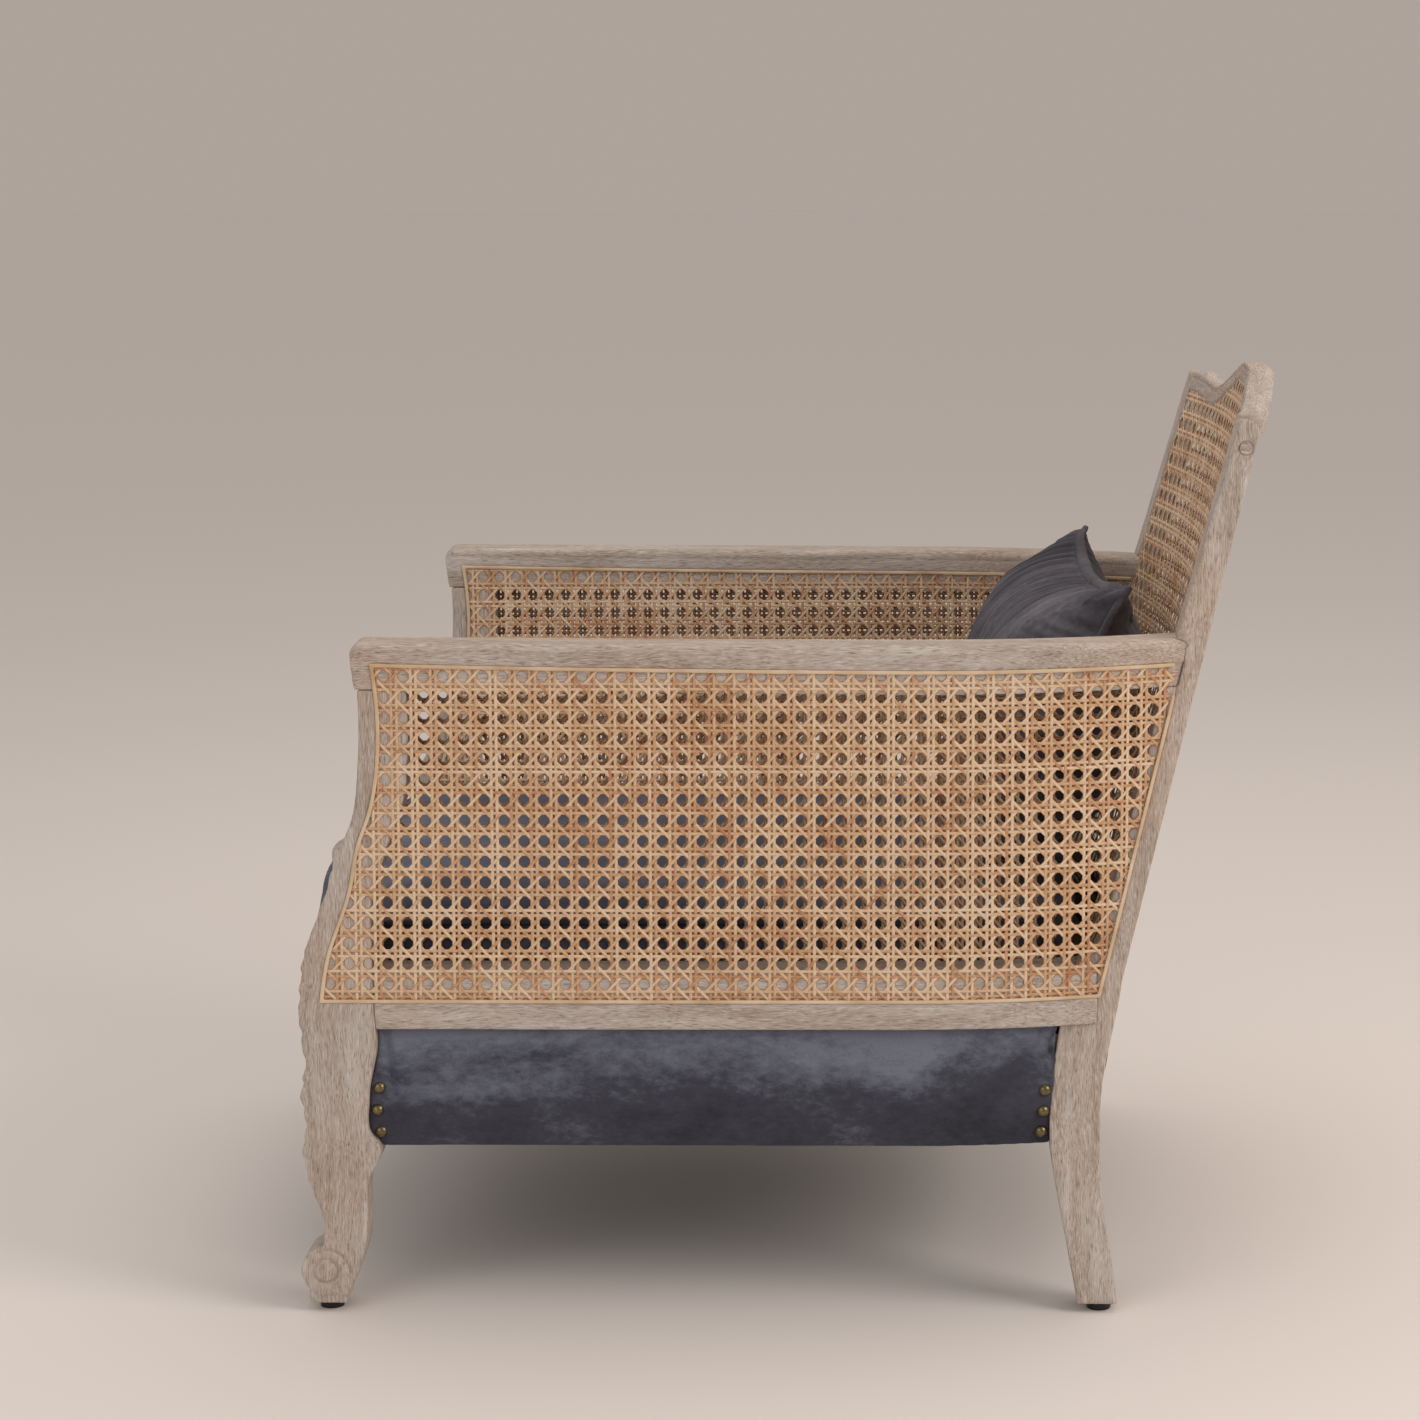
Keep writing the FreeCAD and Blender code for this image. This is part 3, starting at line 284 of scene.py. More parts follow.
def caneFinish():
    # Split rattan cane: its hard skin gives a soft gloss, and strands go from straw to orange brown
    sizes = {"patch": 62.5, "fleck": 4.348}
    mat, tree, shader = newMaterial("rattan_cane_natural")
    place = add(tree, "TexCoord", out="Object")
    tone = add(tree, "Attribute", settings={"attribute_name": "tone"}, out="Fac")
    patch = add(tree, "TexNoise", {"Scale": perMetre(sizes["patch"]), "Detail": 3.0, "Vector": place})
    fleck = add(tree, "TexNoise", {"Scale": perMetre(sizes["fleck"]), "Detail": 2.0, "Vector": place})
    shade = add(tree, "Math", {0: patch, 1: 0.32, 2: 0.065}, multiplyAdd)
    shade = add(tree, "Math", {0: tone, 1: 0.28, 2: shade}, multiplyAdd)
    shade = add(tree, "Math", {0: fleck, 1: 0.27, 2: shade}, multiplyAdd)
    connect(tree, shader, {
        "Base Color": add(tree, "ValToRGB", {0: shade}, {"stops": [
            (0.36, srgb("#e3c8aa")), (0.47, srgb("#d8b693")),
            (0.58, srgb("#cba07a")), (0.70, srgb("#b47e5a"))]}),
        "Roughness": 0.42,
        "Specular IOR Level": 0.42,
        "Normal": add(tree, "Bump", {"Strength": 0.25, "Distance": 0.0003, "Height": fleck}),
    })
    return mat


def reedFinish():
    # Round rattan core without its skin: matt and paler than the cane
    mat, tree, shader = newMaterial("reed_spline_natural")
    place = add(tree, "TexCoord", out="Object")
    patch = add(tree, "TexNoise", {"Scale": perMetre(41.67), "Detail": 4.0, "Vector": place})
    connect(tree, shader, {
        "Base Color": add(tree, "ValToRGB", {0: patch}, {"stops": [
            (0.35, srgb("#ddc6a8")), (0.6, srgb("#c9aa87")), (0.75, srgb("#ab8661"))]}),
        "Roughness": 0.5,
    })
    return mat


def velvetFinish(name, base, bloom, shadow, rise=None):
    # Cotton velvet: short pile brushed in patches, whose lighter and darker colour is painted sheen and
    # painted shade, with a sheen where it turns away from the eye
    # The real pile is finer than a pixel; it is drawn 0.7 mm wide so that it shows
    sizes = {"brushed": 90.91, "crush": 6.667, "pile": 0.6667}
    mat, tree, shader = newMaterial(name)
    place = add(tree, "TexCoord", out="Object")
    swept = add(tree, "Mapping", {"Vector": place, "Scale": (1.0, 0.55, 1.0)})
    brushed = add(tree, "TexNoise", {
        "Scale": perMetre(sizes["brushed"]), "Detail": 4.0, "Distortion": 0.4, "Vector": swept})
    crush = add(tree, "TexNoise", {
        "Scale": perMetre(sizes["crush"]), "Detail": 6.0, "Roughness": 0.7, "Vector": swept})
    pile = add(tree, "TexNoise", {"Scale": perMetre(sizes["pile"]), "Detail": 1.0, "Vector": place})
    shade = add(tree, "Math", {0: crush, 1: 0.45, 2: brushed}, multiplyAdd)
    if rise:
        # Painted light: between these heights the colour is painted lighter towards the top, as if lit from
        # above, and a little darker low down
        height = add(tree, "SeparateXYZ", {0: place}, out="Z")
        lift = add(tree, "MapRange", {0: height, 1: rise[0], 2: rise[1], 3: -0.07, 4: 0.2})
        shade = add(tree, "Math", {0: shade, 1: lift}, {"operation": "ADD"})
    # The brushed and crushed patches are partly the real lie of the pile and partly painted light: painted
    # sheen where lighter, painted shade where darker
    colour = add(tree, "ValToRGB", {0: shade}, {"stops": [
        (0.50, srgb(shadow)), (0.74, srgb(base)), (1.04, srgb(bloom))]})
    speck = add(tree, "ValToRGB", {0: pile}, {"stops": [(0.3, grey(0.82)), (0.7, grey(1.1))]})
    rough = add(tree, "Bump", {"Strength": 0.25, "Distance": 0.0005, "Height": pile})
    connect(tree, shader, {
        "Base Color": add(tree, "Mix", {0: 1.0, 6: colour, 7: speck}, multiply, 2),
        "Roughness": 0.9,
        "Specular IOR Level": 0.15,
        "Sheen Weight": 0.4,
        "Sheen Roughness": 0.42,
        "Sheen Tint": srgb("#a4a6b0"),
        "Normal": add(tree, "Bump", {
            "Strength": 0.3, "Distance": 0.002, "Height": crush, "Normal": rough}),
    })
    return mat


def plainFinish(name, colour, roughness, metal=0.0, grain=0.0):
    # grain is the size of the mottling in millimetres; without it the colour is even
    mat, tree, shader = newMaterial(name)
    connect(tree, shader, {"Base Color": srgb(colour), "Roughness": roughness, "Metallic": metal})
    if grain:
        place = add(tree, "TexCoord", out="Object")
        mottle = add(tree, "TexNoise", {"Scale": perMetre(grain), "Detail": 4.0, "Vector": place})
        shade = add(tree, "ValToRGB", {0: mottle}, {"stops": [(0.3, grey(0.72)), (0.7, grey(1.12))]})
        connect(tree, shader, {
            "Base Color": add(tree, "Mix", {0: 1.0, 6: srgb(colour), 7: shade}, multiply, 2),
            "Normal": add(tree, "Bump", {"Strength": 0.4, "Distance": 0.0003, "Height": mottle}),
        })
    return mat


def wovenFinish(name, colour, thread):
    # Plain weave, matt: warp and weft waves with the thread spacing in millimetres
    mat, tree, shader = newMaterial(name)
    place = add(tree, "TexCoord", out="Object")
    rate = perMetre(thread) / (2.0 * math.pi)
    warp, weft = (add(tree, "TexWave", {"Scale": rate, "Distortion": 0.6, "Vector": place},
                      {"bands_direction": axis}, "Fac") for axis in "XY")
    both = add(tree, "Math", {0: warp, 1: weft}, {"operation": "MULTIPLY"})
    shade = add(tree, "ValToRGB", {0: both}, {"stops": [(0.05, grey(0.55)), (0.6, grey(1.05))]})
    connect(tree, shader, {
        "Base Color": add(tree, "Mix", {0: 1.0, 6: srgb(colour), 7: shade}, multiply, 2),
        "Roughness": 0.92,
        "Normal": add(tree, "Bump", {"Strength": 0.6, "Distance": 0.0004, "Height": both}),
    })
    return mat


woodUp = woodFinish("mango_wood_limed_upright", "Z")
woodLong = woodFinish("mango_wood_limed_lengthwise", "Y")
woodAcross = woodFinish("mango_wood_limed_across", "X")
cane = caneFinish()
reed = reedFinish()
velvet = velvetFinish("cotton_velvet_slate", "#4b4d5b", "#686b7a", "#3a3b46")
# The tacked border's velvet has painted light: lighter towards its top, between these heights in metres
velvetBorderLitTop = velvetFinish("cotton_velvet_slate_tacked", "#454651", "#757a89", "#33333c", (0.190, 0.262))
velvetPillow = velvetFinish("cotton_velvet_slate_brushed", "#57545a", "#77747b", "#434047")
# Brass, pressed and aged: dull gold with a mottled tarnish
brass = plainFinish("brass_antique", "#7d7253", 0.33, 1.0, 3.333)
# Steel, zinc plated: bright and even
steel = plainFinish("steel_zinc_plated", "#a9adb2", 0.35, 1.0)
# Nylon, moulded: black, half gloss
nylon = plainFinish("nylon_black_moulded", "#16161a", 0.45)
# Beech, sawn and left raw: pale brown and matt
hardwood = plainFinish("hardwood_sawn", "#a88a66", 0.8, 0.0, 16.67)
# Jute yarn, woven as webbing: coarse and straw brown
jute = wovenFinish("jute_webbing_natural", "#a58a5f", 2.4)
# Cotton cambric, dyed black: a fine plain weave
cambric = wovenFinish("cambric_black", "#17171b", 0.9)
# Cotton felt, carded: grey and soft
felt = plainFinish("cotton_felt_grey", "#8b8479", 0.95, 0.0, 2.5)
print("finishes made")


# Where the frame's curves run, as in the part's own drawing

def sidePoint(s, z, d):
    # Point on the side at length s from the front, height z, depth d behind the outer face
    s = np.asarray(s, float)
    radius = bendRadius
    centre = halfWidth - radius
    angle = np.maximum(s - bendStart, 0.0) / radius
    x = np.where(s <= bendStart, halfWidth - d, centre + (radius - d) * np.cos(angle))
    y = np.where(s <= bendStart, s, bendStart + (radius - d) * np.sin(angle))
    return np.stack([x, y, np.broadcast_to(z, x.shape)], axis=-1)


def backCurve(x):
    return backSag - (backRadius - np.sqrt(backRadius ** 2 - np.asarray(x, float) ** 2))


def backPoint(x, t, d):
    # Point on the back at x, height z = t, depth d behind the front face
    x = np.asarray(x, float)
    t = np.asarray(t, float)
    y = backFoot + backRake * (t - caneBottom) + backCurve(x) + d
    return np.stack([x, y, t], axis=-1)


def polyline(points, steps=10):
    # Smooth curve through points (Catmull-Rom), as a dense list
    pts = [np.array(p, float) for p in points]
    pts = [2 * pts[0] - pts[1]] + pts + [2 * pts[-1] - pts[-2]]
    out = []
    for i in range(1, len(pts) - 2):
        a, b, c, e = pts[i - 1:i + 3]
        for k in range(steps):
            t = k / steps
            out.append(0.5 * (2 * b + (c - a) * t + (2 * a - 5 * b + 4 * c - e) * t * t
                              + (3 * b - a - 3 * c + e) * t ** 3))
    out.append(pts[-2])
    return out


def rearEdge(z):
    return rearFoot + rearRake * (z - caneBottom)


def caneFront():
    rows = ((0.263, -0.08), (0.304, 0), (0.400, 0.136), (0.583, 0.26), (0.684, 0.335), (0.808, 0.475),
            (0.911, 0.54), (1.043, 0.69), (1.068, 0.815), (1.043, 0.92), (1.001, 1.0), (0.967, 1.07))
    return polyline([(legDepth * u, caneBottom + caneHeight * f) for u, f in rows])


def sideOutline():
    topFront, topRear = caneBottom + caneHeight + 0.8, 608.0
    front = [tuple(p) for p in caneFront() if caneBottom <= p[1] < caneBottom + caneHeight]
    top = [(y, topFront - 8.8 * smoothstep(20, bendStart, y)) for y in range(20, 860, 60)]
    line = front + [p for p in top if p[0] > front[-1][0] + 2]
    upper, lower = rearEdge(topRear) - postSeen, rearEdge(caneBottom) - postSeen
    line = [p for p in line if p[0] < upper - 1.0]
    line += [(upper, topRear), (lower, caneBottom)]
    return np.array(line)


def crestTop(x):
    # Height of the crest's top edge over x
    rows = polyline([(0, 32.0), (0.10, 30.5), (0.30, 14.4), (0.56, -6.0), (0.78, -2.1), (1.02, 0.0)])
    us = np.array([r[0] for r in rows])
    rises = np.array([r[1] for r in rows])
    return crestShoulder + np.interp(np.abs(x) / 246.9, us, rises)


def backOutline():
    # The posts lean inwards, so the panel narrows as it rises
    crestFace = 18.0
    reach, lean = halfWidth - frameThickness, 0.0699
    xs = np.linspace(-246.0, 246.0, 83)
    tops = crestTop(xs) - crestFace
    shoulder = crestShoulder - crestFace
    wide, narrow = reach - lean * caneBottom, reach - lean * shoulder
    line = [(x, z) for x, z in zip(xs, tops) if abs(x) < narrow - 1 and abs(x) < reach - lean * z]
    corners = [(narrow, shoulder), (wide, caneBottom), (-wide, caneBottom)]
    return np.array([(-narrow, shoulder)] + line + corners)


def inside(points, polygon):
    # Even-odd test of N x 2 points against a closed polygon
    x, y = points[:, 0], points[:, 1]
    hit = np.zeros(len(points), bool)
    a = polygon
    b = np.roll(polygon, -1, axis=0)
    for (x0, y0), (x1, y1) in zip(a, b):
        if y0 == y1:
            continue
        cross = ((y0 > y) != (y1 > y)) & (x < (x1 - x0) * (y - y0) / (y1 - y0) + x0)
        hit ^= cross
    return hit


# Cane webbing

weave = {
    "pitchAcross": 18.2,
    "pitchUp": 19.2,
    "pairGap": 4.8,
    "strandWidth": 3.1,
    "diagonalWidth": 2.9,
    "strandThickness": 0.5,
    "wave": 0.24,
    "diagonalWave": 0.42,
    "unevenness": 0.18,
    "recess": 1.75,
    "recessBehind": 4.5,
    # Where a crossing of pairs lies on each sheet: length or x, then height
    "outerStart": (24.0, 305.5),
    "innerStart": (18.9, 291.9),
    "innerStretch": 0.8,
    "backStart": (0.0, 306.0),
    "backRearStart": (4.0, 303.0),
}


def caneSheet(name, outline, toWorld, outward, lean, phase, replaced, stretch=0.0):
    # Strands of the six-way pattern: upright pairs, level pairs, and two diagonal sets
    px, py = weave["pitchAcross"], weave["pitchUp"] + stretch
    half = weave["pairGap"] / 2.0
    lo, hi = outline.min(0), outline.max(0)
    verts, faces, tones = [], [], []
    near = half / py

    def strand(points, heights, width, tone):
        # points M x 2 on the panel, heights M above its middle
        pts = np.asarray(points)
        ok = inside(pts, outline)
        runs, start = [], None
        for i, flag in enumerate(ok):
            if flag and start is None:
                start = i
            if not flag and start is not None:
                runs.append((start, i))
                start = None
        if start is not None:
            runs.append((start, len(ok)))
        for a, b in runs:
            if b - a < 2:
                continue
            piece, high = pts[a:b].copy(), heights[a:b].copy()
            # Strand ends reach the groove: slide the end points out to the outline
            for end, other in ((0, a - 1), (-1, b)):
                if 0 <= other < len(pts):
                    inner, outer = pts[a if end == 0 else b - 1], pts[other]
                    lowT, highT = 0.0, 1.0
                    for _ in range(7):
                        mid = (lowT + highT) / 2
                        if inside((inner + (outer - inner) * mid)[None], outline)[0]:
                            lowT = mid
                        else:
                            highT = mid
                    piece[end] = inner + (outer - inner) * lowT
            along = np.gradient(piece, axis=0)
            along /= np.maximum(np.linalg.norm(along, axis=1), 1e-9)[:, None]
            side = np.stack([-along[:, 1], along[:, 0]], axis=1)
            h = weave["strandThickness"] / 2.0
            w = width / 2.0
            base = len(verts)
            rows = []
            for offset, lift in ((-w, -0.3 * h), (-0.5 * w, h), (0.5 * w, h), (w, -0.3 * h)):
                spot = piece + side * offset
                rows.append(toWorld(spot[:, 0], spot[:, 1], outward * (high + lift)))
            stack = np.stack(rows, axis=1).reshape(-1, 3)
            verts.extend(stack.tolist())
            tones.extend([tone] * len(stack))
            count = b - a
            for i in range(count - 1):
                p, q = base + 4 * i, base + 4 * (i + 1)
                for j in range(4):
                    k = (j + 1) % 4
                    quad = (p + j, p + k, q + k, q + j)
                    faces.append(quad if outward > 0 else (quad[0], quad[3], quad[2], quad[1]))

    def levels(first, last, pitch, offsets):
        n = np.arange(math.floor(first / pitch) - 1, math.ceil(last / pitch) + 2)
        return np.sort((n[:, None] + np.array(offsets)[None]).ravel()) * pitch

    cx, cy = phase

    def wobble():
        return random.uniform(-weave["unevenness"], weave["unevenness"])

    # Upright pairs
    up = levels(lo[1] - cy, hi[1] - cy, py, (-2 * near, -near, near, 2 * near))
    for m in range(math.floor((lo[0] - cx) / px) - 2, math.ceil((hi[0] - cx) / px) + 3):
        for sign in (-1, 1):
            drift = wobble()
            s = cx + m * px + sign * half + drift + lean * (up + cy - lo[1])
            wave = np.tile([0.0, -1.0, 1.0, 0.0], len(up) // 4) * sign * weave["wave"]
            strand(np.stack([s, up + cy], 1), wave, weave["strandWidth"], random.random())
    # Level pairs
    nearX = half / px
    over = levels(lo[0] - cx, hi[0] - cx, px, (-2 * nearX, -nearX, nearX, 2 * nearX))
    for n in range(math.floor((lo[1] - cy) / py) - 1, math.ceil((hi[1] - cy) / py) + 2):
        for sign in (-1, 1):
            t = np.full(len(over), cy + n * py + sign * half + wobble())
            wave = np.tile([0.0, 1.0, -1.0, 0.0], len(over) // 4) * sign * weave["wave"]
            s = over + cx + lean * (t - lo[1])
            strand(np.stack([s, t], 1), wave, weave["strandWidth"], random.random())
    # Diagonals cross over the middle of each pair
    for way in (1, -1):
        spanU = (hi[0] - lo[0]) / px + (hi[1] - lo[1]) / py + 4
        base = (lo[0] - cx) / px
        for k in range(-int(spanU) - 2, int(spanU) + 3):
            tau = np.arange(math.floor((lo[1] - cy) / py) - 1, math.ceil((hi[1] - cy) / py) + 1, 0.25)
            t = cy + tau * py
            drift = wobble()
            s = cx + (k + 0.5 + math.floor(base) + way * tau) * px + lean * (t - lo[1]) + drift
            if s.max() < lo[0] or s.min() > hi[0]:
                continue
            # Over the upright pairs and under the level ones; the other set the other way
            wave = -way * np.cos(2 * math.pi * tau) * weave["diagonalWave"]
            strand(np.stack([s, t], 1), wave, weave["diagonalWidth"], random.random())
    obj = meshObject(name, verts, faces, cane)
    layer = obj.data.attributes.new("tone", "FLOAT", "POINT")
    layer.data.foreach_set("value", np.array(tones, dtype=np.float32))
    standFor(obj, "cane_webbing", replaced)
    print(name, "triangles", 2 * len(faces))
    return obj


sideShape = sideOutline()
backShape = backOutline()
for side, sign in (("right", 1), ("left", -1)):
    def outerPlace(s, z, h, sign=sign):
        p = sidePoint(s, z, weave["recess"] - h)
        p[:, 0] *= sign
        return p

    def innerPlace(s, z, h, sign=sign):
        p = sidePoint(s, z, frameThickness - weave["recess"] - h)
        p[:, 0] *= sign
        return p

    caneSheet("cane_side_outer_" + side, sideShape, outerPlace, 1.0, 0.004 * sign,
              weave["outerStart"], "side_cane_outer_" + side)
    caneSheet("cane_side_inner_" + side, sideShape, innerPlace, -1.0, 0.004 * sign,
              weave["innerStart"], "side_cane_inner_" + side, weave["innerStretch"])


def backFrontPlace(x, z, h):
    return backPoint(x, z, weave["recess"] - h)


def backRearPlace(x, z, h):
    return backPoint(x, z, backThickness - weave["recessBehind"] - h)


caneSheet("cane_back_front", backShape, backFrontPlace, 1.0, 0.003, weave["backStart"],
          "back_cane_front")
caneSheet("cane_back_rear", backShape, backRearPlace, -1.0, -0.004, weave["backRearStart"],
          "back_cane_rear")
print("cane made")


# Carved wood

def lines(co, along, across, seed, amount):
    # Very slight unevenness from brushing
    flat = np.stack([co[:, along] * 0.12, co[:, across]], axis=1)
    return amount * softNoise(flat, 9.0, seed)


leg = {
    "middle": halfWidth - frameThickness / 2.0,
    "leafFoot": (96.0, 130.0),
    "leafThins": (318.0, 352.0),
    "leafTop": (420.0, 446.0),
    "ribPitch": 25.0,
    "lobePitch": 27.0,
    "scroll": (23.1, 40.1),
    "buttonGroove": 11.2,
    "lipRadius": 21.5,
    "tip": 441.0,
    "tipReach": 7.5,
    "blockJoint": 591.0,
}


def shapeLeg(co, no):
    x, y, z = co[:, 0], co[:, 1], co[:, 2]
    out = co.copy()
    u = (x - leg["middle"]) / (frameThickness / 2.0)
    # Leaf carving down the front of the knee: midrib, ribs slanting down to lobed edges
    t = smoothstep(*leg["leafFoot"], z) * (1.0 - 0.45 * smoothstep(*leg["leafThins"], z))
    t = t * (1.0 - smoothstep(*leg["leafTop"], z))
    facing = smoothstep(0.15, 0.75, -no[:, 1])
    phase = z / leg["ribPitch"] + 0.75 * np.abs(u) + 0.3 * np.sin(z / 17.0)
    phase = phase + 0.15 * np.sin(z / 6.3 + 2.0 * u)
    ribs = 0.5 + 0.5 * np.cos(2 * math.pi * phase)
    lobes = np.clip(np.sin(math.pi * (z / leg["lobePitch"] % 1.0)), 0, 1) ** 0.6
    vein = np.exp(-(u / 0.10) ** 2)
    leaf = 1.9 * ribs * (0.35 + 0.65 * np.abs(u))
    leaf = leaf + 1.3 * lobes * smoothstep(0.45, 0.95, np.abs(u)) + 1.2 * vein
    leaf += 0.5 * softNoise(co, 9.0, 13)
    push = t * facing * (leaf - 1.3)
    # The lobes also show as notches along the side faces' front edge
    sideFace = smoothstep(0.5, 0.9, np.abs(no[:, 0]))
    edgeY = np.interp(z, *frontEdgeAt)
    close = 1.0 - smoothstep(3.0, 15.0, y - edgeY)
    push += t * sideFace * close * (1.1 * ribs - 1.3)
    # Scroll: a groove rings the button, and a second one follows the turn of the foot
    dy, dz = y - leg["scroll"][0], z - leg["scroll"][1]
    r = np.hypot(dy, dz)
    turn = np.degrees(np.arctan2(dz, dy))
    ring = np.exp(-((r - leg["buttonGroove"]) / 1.3) ** 2)
    lip = np.exp(-((r - leg["lipRadius"] + 0.03 * (turn - 40.0)) / 1.3) ** 2)
    lip = lip * smoothstep(-20, 10, turn) * (turn < 112)
    push -= sideFace * (2.2 * ring + 1.7 * lip)
    out += no * push[:, None]
    # The leaf's tip curls forward at the top of the carving
    top = leg["tip"]
    tip = leg["tipReach"] * smoothstep(top + 7.0, top, z) * np.exp(-(np.clip(top - z, 0, None) / 13.0) ** 2)
    out[:, 1] -= tip * smoothstep(0.1, 0.6, -no[:, 1]) * (1.0 - smoothstep(0.5, 1.0, np.abs(u)) * 0.6)
    # Joint line where the arm's block meets the post
    joint = np.exp(-((z - leg["blockJoint"]) / 0.9) ** 2)
    out -= no * (joint * 0.5)[:, None]
    out += no * lines(co, 2, 1, 3, 0.12)[:, None]
    return out


def frontEdgeProfile():
    co = readVerts(nodes["front_leg_right"].data)
    zs = np.linspace(12, 590, 140)
    keep = []
    for z in zs:
        near = co[np.abs(co[:, 2] - z) < 9.0]
        keep.append(near[:, 1].min() if len(near) else 0.0)
    return zs, np.array(keep)


frontEdgeAt = frontEdgeProfile()


def shapeArm(co, no):
    out = co.copy()
    y, z = co[:, 1], co[:, 2]
    # A shallow bead line runs under the rounded top on both faces
    top = armTop - 5.0 * smoothstep(20, bendStart, y)
    sideFace = smoothstep(0.6, 0.95, np.abs(no[:, 0])) * smoothstep(16, 26, y)
    line = np.exp(-((z - (top - 8.6)) / 0.9) ** 2)
    out -= no * (0.55 * line * sideFace)[:, None]
    out += no * lines(co, 1, 2, 5, 0.12)[:, None]
    return out


crest = {
    "bead": 5.2,
    "shellMiddle": 9.0,
    "shellRim": (13.0, 17.0),
    "wear": 3.5,
    "wearReach": 80.0,
    "roundedBehind": 8.0,
}


def shapeCrest(co, no):
    out = co.copy()
    x, y, z = co[:, 0], co[:, 1], co[:, 2]
    top = crestTop(x)
    face = smoothstep(0.5, 0.9, np.abs(no[:, 1]))
    below = top - z
    # Moulded line that follows the serpentine top, and a small carved shell in the middle
    line = np.exp(-((below - crest["bead"]) / 1.0) ** 2)
    out -= no * (0.8 * line * face)[:, None]
    cx, cz = x / 1.7, z - (top - crest["shellMiddle"])
    r = np.hypot(cx, cz)
    ang = np.arctan2(cz + crest["shellMiddle"], cx)
    shell = (1.0 - smoothstep(*crest["shellRim"], r)) * (0.6 + 0.7 * np.abs(np.cos(5.5 * ang)))
    out += no * (1.0 * shell * face)[:, None]
    out += no * lines(co, 0, 2, 8, 0.12)[:, None]
    # The middle is worn a little lower, and the whole top is rounded over behind
    high = smoothstep(30.0, 0.0, below)
    out[:, 2] -= crest["wear"] * np.exp(-(x / crest["wearReach"]) ** 2) * high
    behind = (y - backPoint(x, z, 0.0)[:, 1]) / backThickness
    out[:, 2] -= crest["roundedBehind"] * high * smoothstep(0.4, 1.1, behind) ** 2
    return out


def shapePlain(along, across, seed):
    def shape(co, no):
        return co + no * lines(co, along, across, seed, 0.12)[:, None]
    return shape


def shapeBackRail(co, no):
    # Planed a little thinner behind its middle, so that it hides behind the posts
    thin = 5.5 * (1.0 - np.clip(co[:, 0] / 285.0, -1, 1) ** 2) * smoothstep(0.0, 0.5, no[:, 1])
    out = co + no * lines(co, 0, 2, 9, 0.12)[:, None]
    out[:, 1] -= thin
    return out


apron = {
    "half": 305.0,
    "lowEdge": 159.0,
    "lobeHeight": 30.0,
    "bead": 9.0,
    "sprayFoot": 172.0,
    "petals": 9,
    "petalLength": 46.0,
    "petalWidth": 6.5,
    "petalTurn": 0.32,
}


def shapeFrontRail(co, no):
    out = co.copy()
    x, z = co[:, 0], co[:, 2]
    face = smoothstep(0.5, 0.9, -no[:, 1])
    u = x / apron["half"]
    bottom = apron["lowEdge"] + apron["lobeHeight"] * np.exp(-((np.abs(u) - 0.56) / 0.3) ** 2)
    below = z - bottom
    # Bead along the serpentine edge and a leaf spray in the middle of the apron
    line = np.exp(-((below - apron["bead"]) / 1.4) ** 2)
    push = -1.0 * line
    spray = np.zeros(len(co))
    for k in range(apron["petals"]):
        step = k - apron["petals"] // 2
        lean = step * apron["petalTurn"]
        dz = z - apron["sprayFoot"]
        along = x * math.sin(lean) + dz * math.cos(lean)
        across = x * math.cos(lean) - dz * math.sin(lean)
        length = apron["petalLength"] - 2.0 * abs(step)
        t = np.clip(along / length, 0, 1)
        width = apron["petalWidth"] * np.sin(math.pi * np.clip(t, 0.02, 1.0)) ** 0.7 + 0.01
        petal = np.clip(1.0 - (across / width) ** 2, 0, 1) * (along > 0) * (along < length)
        vein = np.exp(-(across / 0.9) ** 2) * petal
        spray = np.maximum(spray, petal * 3.0 - 1.0 * vein)
    push += spray
    out += no * (push * face)[:, None]
    out += no * lines(co, 0, 2, 11, 0.12)[:, None]
    return out


woodVoxel = 1.5


def woodPiece(node, material, shape, smoothing=4, voxel=None):
    obj = remeshed("wood_" + node, [node], voxel or woodVoxel, smoothing, material, shape=shape)
    standFor(obj, "limed_wood", node)
    print(obj.name, "triangles", triangles(obj))
    return obj


for node, material, shape in (
    ("front_leg_right", woodUp, shapeLeg),
    ("arm_rail_right", woodLong, shapeArm),
    ("rear_post_right", woodUp, shapePlain(2, 1, 6)),
    ("side_rail_right", woodLong, shapePlain(1, 2, 7)),
):
    right = woodPiece(node, material, shape)
    leftNode = node.replace("right", "left")
    standFor(mirroredCopy(right, "wood_" + leftNode), "limed_wood", leftNode)
woodPiece("crest_rail", woodAcross, shapeCrest)
woodPiece("back_rail", woodAcross, shapeBackRail)
woodPiece("front_seat_rail", woodAcross, shapeFrontRail)
print("wood made")

for node in ("side_spline_outer_right", "side_spline_inner_right", "back_spline_front", "back_spline_rear"):
    bead = remeshed("bead_" + node, [node], 0.8, 3, reed)
    if node == "back_spline_rear":
        # Pressed a little deeper, so that the posts hide it from the side
        co = readVerts(bead.data)
        co[:, 1] -= 3.8
        writeVerts(bead.data, co)
    standFor(bead, "reed_spline", node)
    if node.endswith("right"):
        twinNode = node.replace("right", "left")
        standFor(mirroredCopy(bead, "bead_" + twinNode), "reed_spline", twinNode)
print("splines made")


# Upholstery

nailSpots = []
for node in ("side_nails", "rear_nails"):
    co = readVerts(nodes[node].data)
    # Heads are found by grouping the points that stand close together
    order = np.argsort(co[:, 2])
    used = np.zeros(len(co), bool)
    for i in order:
        if used[i]:
            continue
        near = np.linalg.norm(co - co[i], axis=1) < 17.0
        near &= ~used
        used |= near
        nailSpots.append(co[near].mean(0))
nailSpots = np.array(nailSpots)
print("nails found", len(nailSpots))


border = {
    "voxel": 2.2,
    "low": 159.0,
    "top": 272.0,
    "front": 73.0,
    "rear": 716.0,
    "creaseFront": 83.0,
    "creaseRear": 706.0,
    "nailDip": 1.5,
}


